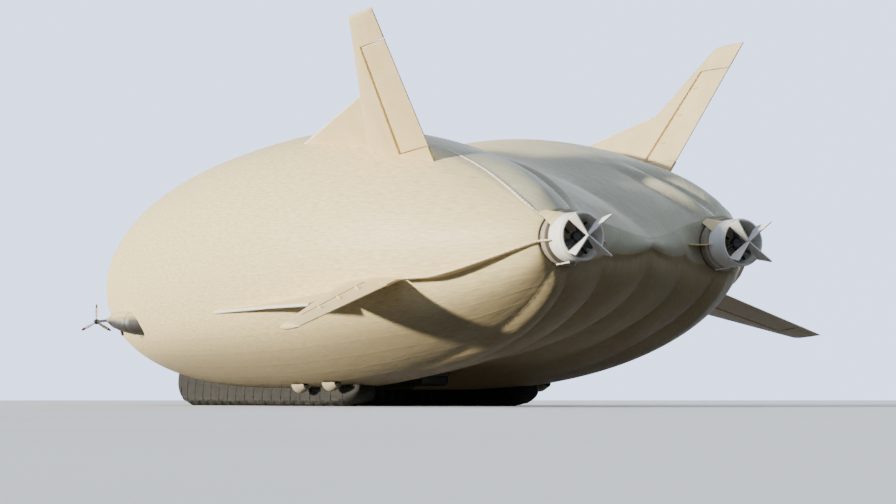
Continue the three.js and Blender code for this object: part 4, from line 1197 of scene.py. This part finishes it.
def make_nacelle():
    """The cowl with its collar, exhaust stub, intake and two bands."""
    cowl = rings([nacelle_ring(k, circle(48)) for k in np.linspace(0, len(NACELLE) - 1, 41)])
    collar = lathe([(0.0, -24.62), (0.2, -24.62), (0.27, -24.56), (0.3, -24.45), (0.3, -24.3), (0.0, -24.3)],
                   FRONT_HUB, 40)
    stub = tube([(16.1, -22.3, -5.05), (16.15, -22.1, -5.35), (16.18, -21.8, -5.5)], [0.13, 0.13, 0.12], 16)
    intake = tube([(16.2, -23.35, -3.72), (16.15, -22.9, -3.6), (15.9, -22.2, -3.5)], [0.14, 0.2, 0.16], 16)
    rows = np.interp(NACELLE_BANDS, [row[1] for row in NACELLE], range(len(NACELLE)))
    bands = [tube(nacelle_ring(k, np.linspace(0, 2 * pi, 49), 0.012), 0.02, 6) for k in rows]
    parts = [(cowl, nacelle_skin), (collar, dark_metal), (stub, dark_metal), (intake, dark_metal),
             (joined(*bands), nacelle_skin)]
    both("nacelle_cowl", parts, replaces=("front_nacelle_{side}",), slot="hull_fabric", sharp=50)


def make_front_rotor():
    """The front propeller: a hub of radius and y, and three pale blades with dark red tips."""
    hub = [(0.0, -28.62), (0.135, -28.62), (0.135, -28.24), (0.23, -28.24), (0.25, -28.3), (0.25, -28.55),
           (0.22, -28.68), (0.16, -28.8), (0.09, -28.9), (0.0, -28.95)]
    rows = [(0.18, 0.2, 0.12, 20), (0.45, 0.28, 0.1, 12), (0.9, 0.33, 0.08, 3), (1.3, 0.28, 0.06, -3)]
    ends = [rows[-1], (1.55, 0.2, 0.04, -6), (1.66, 0.11, 0.018, -8)]
    blades, tips = blade_shape(rows, 30, 3, FRONT_HUB), blade_shape(ends, 30, 3, FRONT_HUB)
    parts = [(lathe(hub, FRONT_HUB, 40), dark_metal), (joined(*blades), blade_pale), (joined(*tips), tip_red)]
    both("front_rotor", parts, body="front_propeller_{side}", replaces=("front_propeller_{side}",),
         slot="blade_black")


make_nacelle()
make_front_rotor()


# ---- Strakes ----

# Rows of the side strake: y, inner edge, outer edge. Corners of the inner strake: x, y.
SIDE_STRAKE = ((31.2, 11.6, 13.7), (33.3, 10.9, 12.95), (35.5, 10.2, 12.2), (37.4, 9.5, 11.4),
               (39.2, 8.8, 10.5), (40.8, 8.2, 9.55), (42.35, 7.9, 8.5), (43.6, 7.9, 8.24))
INNER_STRAKE = ((3.3, 41.9), (5.1, 41.9), (4.78, 43.4), (4.62, 43.6), (4.45, 43.3), (4.2, 43.0), (3.4, 42.9))
STRAKE_THICK = 0.08
# The side strake's height: its two levels, and the stretch of y over which it rises.
STRAKE_LEVELS, STRAKE_RISE = (-3.05, -0.95), (34, 42.35)


def make_strakes():
    """The side strake, which rises towards the duct, with a taped edge, and the flat inner strake."""
    ys, inners, outers = np.array(SIDE_STRAKE).T
    edge = STRAKE_THICK / 2
    rows, trim = [], []
    for y in np.linspace(ys[0], ys[-1], 42):
        inner, outer = np.interp(y, ys, inners), np.interp(y, ys, outers)
        z = mix(*STRAKE_LEVELS, clamp((y - STRAKE_RISE[0]) / (STRAKE_RISE[1] - STRAKE_RISE[0])) ** 1.4)
        top = z + 2 * edge
        rows.append([(inner, y, z), (outer - edge, y, z), (outer, y, z + edge), (outer - edge, y, top),
                     (inner, y, top)])
        trim.append((outer - 0.04, y, top))
    parts = [(rings(rows), fin_skin), (tube(trim, 0.045, 8), lace_tape)]
    both("side_strake_skin", parts, replaces=("side_strake_{side}",), slot="fin_skin", sharp=35)
    level = ENGINE[2] - 0.15
    flat = slab(INNER_STRAKE, level, level + STRAKE_THICK, "xy", 0.03)
    both("inner_strake_skin", [(flat, fin_skin)], replaces=("inner_strake_{side}",), slot="fin_skin",
         sharp=35)


make_strakes()


# ---- Gondola ----


def roof_at(y):
    (y0, z0), (y1, z1) = ROOF_FRONT, ROOF_BACK
    return mix(z0, z1, (y - y0) / (y1 - y0))


def cabin_rings(off):
    """Rings of the cabin's skin from floor to roof, moved in by off."""
    half, floor = CABIN_X - off, CABIN_FLOOR + off
    rows = []
    for v in (0, 0.02, 0.05, 0.09, 0.14, 0.2, 0.28, 0.36, 0.45, 0.55, 0.65, 0.75, 0.85, 0.93, 0.97, 1.0):
        level = mix(floor, ROOF_FRONT[1] - off, v)
        back = CHIN_BACK * quarter(clamp((CHIN_TOP - level) / (CHIN_TOP - floor)))
        tuck = FLOOR_EDGE_WIDTH * quarter(clamp((floor + FLOOR_EDGE_HEIGHT - level) / FLOOR_EDGE_HEIGHT))
        crown = 0.06 * clamp((v - 0.93) / 0.07) ** 2
        x = half - tuck - crown
        nose = CABIN_FRONT + off + back + crown
        line = [(x * sin(t), nose + CABIN_NOSE * (1 - cos(t)))
                for t in np.linspace(0, pi / 2, 19)]
        line += [(x, y) for y in np.linspace(nose + CABIN_NOSE, CABIN_BACK - off, 22)[1:]]
        full = line + [(-px, py) for px, py in line[:0:-1]]
        rows.append([(px, py, mix(floor, roof_at(max(py, ROOF_FRONT[0])) - off, v)) for px, py in full])
    return rows


def window_outlines(side):
    """The cockpit's side window, then the row behind it."""
    start, count = WINDOW_ROWS[side]
    fronts = [start + k * WINDOW_PITCH for k in range(count)]
    windows = [COCKPIT_WINDOW, *((front, front + WINDOW_WIDTH) for front in fronts)]
    return [rounded(a, b, WINDOW_SILL, roof_at(b) - WINDOW_HEAD, 0.07) for a, b in windows]


def door_outline(grow):
    """The door's outline, made larger all round."""
    top = roof_at(DOOR_FRONT + DOOR_WIDTH) - 0.15
    return rounded(DOOR_FRONT - grow, DOOR_FRONT + DOOR_WIDTH + grow, DOOR_LOW - grow, top + grow, 0.1)


def make_cabin():
    """The hollow cabin with its openings cut, a frame round each, and a rubbing strip along the sides."""
    shell = joined(rings(cabin_rings(0.0)), inside_out(rings(cabin_rings(CABIN_WALL))))
    cuts = []
    for side, sign in SIDES:
        through = span(sign, CABIN_X - 0.5, CABIN_X + 0.5)
        cuts += [slab(outline, *through, "yz") for outline in window_outlines(side)]
        for (x0, x1), levels in SCREEN_PANES:
            opening = rounded(*span(sign, x0, x1), SCREEN_LOW, SCREEN_HIGH, 0.08)
            cuts.append(slab(opening, *levels, "xz"))
    doorway = door_outline(DOOR_GAP)
    cuts.append(slab(doorway, -CABIN_X - 0.5, -CABIN_X + 0.5, "yz"))
    parts = [(carved(shell, cuts), cabin_grey)]
    lining = CABIN_X - CABIN_WALL
    for side, sign in SIDES:
        for outline in window_outlines(side):
            parts.append((rim(outline, 0.07, *span(sign, CABIN_X - 0.02, CABIN_X + 0.025), "yz"), trim_black))
            parts.append((rim(outline, 0.06, *span(sign, lining - 0.015, lining + 0.02), "yz"), cabin_lining))
    parts.append((rim(doorway, 0.06, -CABIN_X - 0.02, -CABIN_X + 0.02, "yz"), trim_black))
    strip = [(1.56, y, -10.02) for y in np.linspace(-26.1, CABIN_BACK + 0.1, 30)]
    behind_door = [point for point in strip if point[1] > -21.2]
    parts += [(tube(strip, 0.025, 8), trim_black), (mirrored(tube(behind_door, 0.025, 8)), trim_black)]
    piece("cabin_shell", parts, replaces=("cabin",), sharp=32)
    make_door(shell)


def make_door(shell):
    """The door's leaf, cut from the cabin's own shell, with its handle and a small panel."""
    leaf = carved(shell, [slab(door_outline(0.0), -CABIN_X - 0.4, -CABIN_X + 0.4, "yz")], "INTERSECT")
    grip = [(-1.6, -21.62, -9.85), (-1.63, -21.62, -9.83), (-1.63, -21.62, -9.6), (-1.6, -21.62, -9.58)]
    plate = slab(rounded(-21.7, -21.54, -9.9, -9.53, 0.05), -1.575, -1.545, "yz", 0.01)
    panel = rim(rounded(-22.36, -21.58, -10.2, -9.95, 0.06), 0.02, -1.562, -1.545, "yz")
    parts = [(leaf, cabin_grey), (joined(tube(grip, 0.022, 8), plate), bare_metal), (panel, trim_black)]
    piece("door_leaf", parts, body="cabin_door", replaces=("cabin_door",), sharp=32)


def make_glass_panes():
    """The panes, each cut from a thin skin inside the cabin's own."""
    outside, inside = (rings(cabin_rings(depth)) for depth in GLASS_DEPTHS)
    skin = joined(outside, inside_out(inside))

    def pane(outline, low, high, plane):
        return carved(skin, [slab(outline, low, high, plane)], "INTERSECT"), window_glass

    for side, sign in SIDES:
        through = span(sign, CABIN_X - 0.4, CABIN_X + 0.4)
        panes = [pane(inset(outline, -GLASS_LAP), *through, "yz") for outline in window_outlines(side)]
        piece(f"window_panes_{side}", panes, replaces=(f"cabin_glass_{side}",), slot="window_glass")
    panes = []
    for _, sign in SIDES:
        for (x0, x1), (y0, y1) in SCREEN_PANES:
            outline = rounded(*span(sign, x0 - GLASS_LAP, x1 + GLASS_LAP), SCREEN_LOW - GLASS_LAP,
                              SCREEN_HIGH + GLASS_LAP, 0.08)
            panes.append(pane(outline, y0 - GLASS_LAP, y1 + GLASS_LAP, "xz"))
    piece("screen_panes", panes, replaces=("windscreen",), slot="window_glass")


def make_cabin_inside():
    """Two pilot seats, and their console with three screens, seen through the glass."""
    seats, legs = [], []
    for x in (-SEAT_X, SEAT_X):
        seats += [brick(x - 0.27, x + 0.27, -25.3, -24.75, -9.95, -9.8, 0.06),
                  brick(x - 0.26, x + 0.26, -24.82, -24.66, -9.85, -9.15, 0.06),
                  brick(x - 0.14, x + 0.14, -24.8, -24.68, -9.14, -8.95, 0.05)]
        legs.append(brick(x - 0.16, x + 0.16, -25.2, -24.85, -10.4, -9.94, 0.03))
    section = [(-26.6, -10.2), (-26.0, -10.2), (-26.0, -9.75), (-26.3, -9.45), (-26.6, -9.4)]
    console = slab(section, -0.95, 0.95, "yz", 0.04)
    screens = [slab(rounded(x - 0.24, x + 0.24, -9.78, -9.52, 0.03), -26.08, -26.0, "xz")
               for x in (-0.6, 0.0, 0.6)]
    piece("pilot_station", [(joined(*seats), seat_cloth), (joined(*legs), dark_metal), (console, trim_black),
                            (joined(*screens), dark_metal)])


def make_modules():
    """Dark equipment boxes under the beam, with straps round them, lids and louvres."""
    top = BEAM_LOW - 0.01
    # The rounded ends: distance from the end, and how far the section is drawn in there.
    ends = ((0.0, 0.16), (0.03, 0.09), (0.1, 0.035), (0.22, 0.0))
    for name, (front, back, half, low) in MODULES.items():
        section = [(half * 0.72, low), (half * 0.8, low + 0.02), (half * 0.93, low + 0.12),
                   (half * 0.985, low + 0.22), (half, low + 0.34), (half, top - 0.04), (half - 0.04, top)]
        steps = [(front + d, cut) for d, cut in ends] + [(back - d, cut) for d, cut in ends[::-1]]
        body = rings([[(x * (1 - cut / half), y, max(z, low + cut * 0.8)) for x, z in doubled(section, -1, 1)]
                      for y, cut in steps])
        count = max(3, round((back - front) / LID_PITCH))
        straps, lids = [], []
        for k in range(1, count):
            y = mix(front, back, k / count)
            loop = [(x * 1.008, y, z - 0.012 if z < low + 0.1 else z) for x, z in section]
            straps.append(tube(doubled(loop, -1, 1, 1), 0.03, 6))
        for sign in (1, -1):
            for k in range(count):
                a, b = mix(front, back, (k + 0.14) / count), mix(front, back, (k + 0.86) / count)
                lid = rounded(a, b, low + 0.42, top - 0.14, 0.05)
                lids.append(slab(lid, *span(sign, half - 0.03, half + 0.018), "yz", 0.01))
                for z in (low + 0.5 + 0.09 * r for r in range(3)):
                    louvre = rounded(a + 0.2, a + 0.7, z, z + 0.035, 0.012)
                    lids.append(slab(louvre, *span(sign, half - 0.02, half + 0.034), "yz"))
        parts = [(body, module_grey), (joined(*straps), trim_black), (joined(*lids), cabin_grey)]
        piece(f"{name}_case", parts, replaces=(name,), sharp=32)


def make_domes():
    """Sensor domes under the gondola, turned from rows of radius and height."""
    for number, (y, radius, depth) in enumerate(DOMES, 1):
        low = CABIN_FLOOR - depth
        wall = [(radius * sin(t), low + radius - radius * cos(t))
                for t in np.linspace(0, pi / 2, 12)]
        wall += [(radius, low + radius + 0.06), (radius * 0.86, low + radius + 0.08),
                 (radius * 0.8, CABIN_FLOOR - 0.1), (radius * 1.1, CABIN_FLOOR - 0.05),
                 (radius * 1.1, CABIN_FLOOR + 0.02), (0.0, CABIN_FLOOR + 0.02)]
        rows = [[(r * cos(a), y + r * sin(a), z) for a in circle(40)] for r, z in wall]
        piece(f"sensor_dome_{number}", [(rings(rows, caps=False), trim_black)],
              replaces=(f"belly_dome_{number}",))


def make_beam_details():
    """Frames and stays that tie the payload beam to the keel, and a rail on each side."""
    rods = []
    for y in np.arange(*BEAM_FRAMES):
        roof = surface_z(hull_at(y), 1.6, False) - 0.02
        for sign in (1, -1):
            frame_line = [(sign * 0.97, y, BEAM_LOW + 0.05), (sign * 1.0, y, roof + 0.1)]
            stay_line = [(sign * 1.42, y + 0.1, BEAM_LOW - 0.02), (sign * 1.62, y + 0.1, roof + 0.05)]
            rods += [tube(frame_line, 0.06, 8), tube(stay_line, 0.035, 8)]
    rods += [tube([(sign * 1.0, y, BEAM_LOW + 0.06) for y in (-16.5, 10.3)], 0.05, 8) for sign in (1, -1)]
    piece("beam_frames", [(joined(*rods), dark_metal)], slot="bare_metal")


make_cabin()
make_glass_panes()
make_cabin_inside()
make_modules()
make_domes()
make_beam_details()


# ---- Plain solids of the frame that stay, with their own finish ----

for node, material in (("front_shaft_port", trim_black), ("front_shaft_starboard", trim_black),
                       ("payload_beam", dark_metal), ("cabin_pylon", dark_metal)):
    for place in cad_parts[node].material_slots:
        place.material = material


# ---- Floor, light and camera ----


# Suns: the direction that each shines from, strength, angle and colour.
LAMPS = {"key": ((0.92, -0.335, 0.18), 10.5, 5.0, (1.0, 0.94, 0.79)),
         "fill": ((-0.80, -0.50, 0.34), 1.8, 60.0, (0.80, 0.88, 1.0))}
# The soft light's stops: height of the direction (-1 to 1), colour, strength.
SOFT_LIGHT = ((-1.0, (1.0, 0.95, 0.85), 0.07), (-0.05, (1.0, 0.95, 0.85), 0.07),
              (0.05, (0.70, 0.80, 1.0), 0.42), (0.4, (0.66, 0.78, 1.0), 0.7), (1.0, (0.66, 0.78, 1.0), 1.0))
BACKDROP = {"colour": (0.60, 0.72, 1.0), "strength": 2.9, "radius": 300.0}
FLOOR_REACH = 220.0
# The camera: its place, heading and pitch in degrees, and its lens.
CAMERA_AT, CAMERA_HEADING = Vector((7.77, 16.54, 0.05)), Vector((-0.4526, -0.8917, 0.0))
CAMERA_PITCH, CAMERA_LENS = 4.0, 85.0


def set_stage(name, shape, material):
    """A thing of the studio that the camera sees and that throws no light on the object."""
    mesh = mesh_of(name, *shape)
    mesh.materials.append(material)
    obj = linked(name, mesh)
    obj.visible_diffuse = False
    return obj


def make_stage():
    """The floor, the backdrop and the two suns."""
    s = Surface("studio_floor", 0.85)
    mottle = s.noise(s.place((0.05, 0.05, 0.05)), 1.0)
    s.colour(s.tones(mottle, (0.62, 0.63, 0.65), (0.66, 0.67, 0.685)))
    corners = [(x * FLOOR_REACH, y * FLOOR_REACH, 0) for x, y in ((-1, -1), (1, -1), (1, 1), (-1, 1))]
    set_stage("studio_floor", (corners, [(0, 1, 2, 3)]), s.material)
    s = Surface("studio_backdrop", 1.0, Specular_IOR_Level=0.0, Emission_Strength=BACKDROP["strength"],
                Emission_Color=BACKDROP["colour"])
    s.colour(s.blend(s.noise(s.place(), 0.01), (0, 0, 0), (0.01, 0.01, 0.01)))
    backdrop = set_stage("studio_backdrop", ball((0, 0, 0), [BACKDROP["radius"]] * 3, 24, 48), s.material)
    backdrop.visible_glossy = backdrop.visible_transmission = backdrop.visible_shadow = False
    for name, (toward, energy, angle, colour) in LAMPS.items():
        light = bpy.data.lights.new(name, "SUN")
        light.energy, light.color, light.angle = energy, colour, radians(angle)
        linked(name, light).rotation_euler = Vector(toward).to_track_quat("Z", "Y").to_euler()


def make_soft_light():
    """Soft light from all round: most from overhead, hardly any from underneath."""
    world = bpy.data.worlds.new("studio")
    world.use_nodes = True
    tree = world.node_tree
    where = tree.nodes.new("ShaderNodeTexCoord")
    split = tree.nodes.new("ShaderNodeSeparateXYZ")
    share = tree.nodes.new("ShaderNodeMapRange")
    share.inputs["From Min"].default_value = -1.0
    ramp = tree.nodes.new("ShaderNodeValToRGB")
    stops = ramp.color_ramp.elements
    while len(stops) < len(SOFT_LIGHT):
        stops.new(0.5)
    for stop, (height, colour, level) in zip(stops, SOFT_LIGHT):
        stop.position = (height + 1) / 2
        stop.color = (*(level * c for c in colour), 1.0)
    tree.links.new(where.outputs["Generated"], split.inputs[0])
    tree.links.new(split.outputs["Z"], share.inputs["Value"])
    tree.links.new(share.outputs[0], ramp.inputs["Fac"])
    tree.links.new(ramp.outputs["Color"], tree.nodes["Background"].inputs["Color"])
    bpy.context.scene.world = world


def make_camera():
    """The camera, level with the floor and tilted up a little."""
    camera = bpy.data.cameras.new("camera")
    camera.lens = CAMERA_LENS
    camera.sensor_width = 36.0
    camera.clip_end = 1000.0
    obj = linked("camera", camera)
    obj.location = CAMERA_AT
    forward = CAMERA_HEADING.normalized() + Vector((0, 0, tan(radians(CAMERA_PITCH))))
    obj.rotation_euler = forward.to_track_quat("-Z", "Y").to_euler()
    bpy.context.scene.camera = obj


make_stage()
make_soft_light()
make_camera()
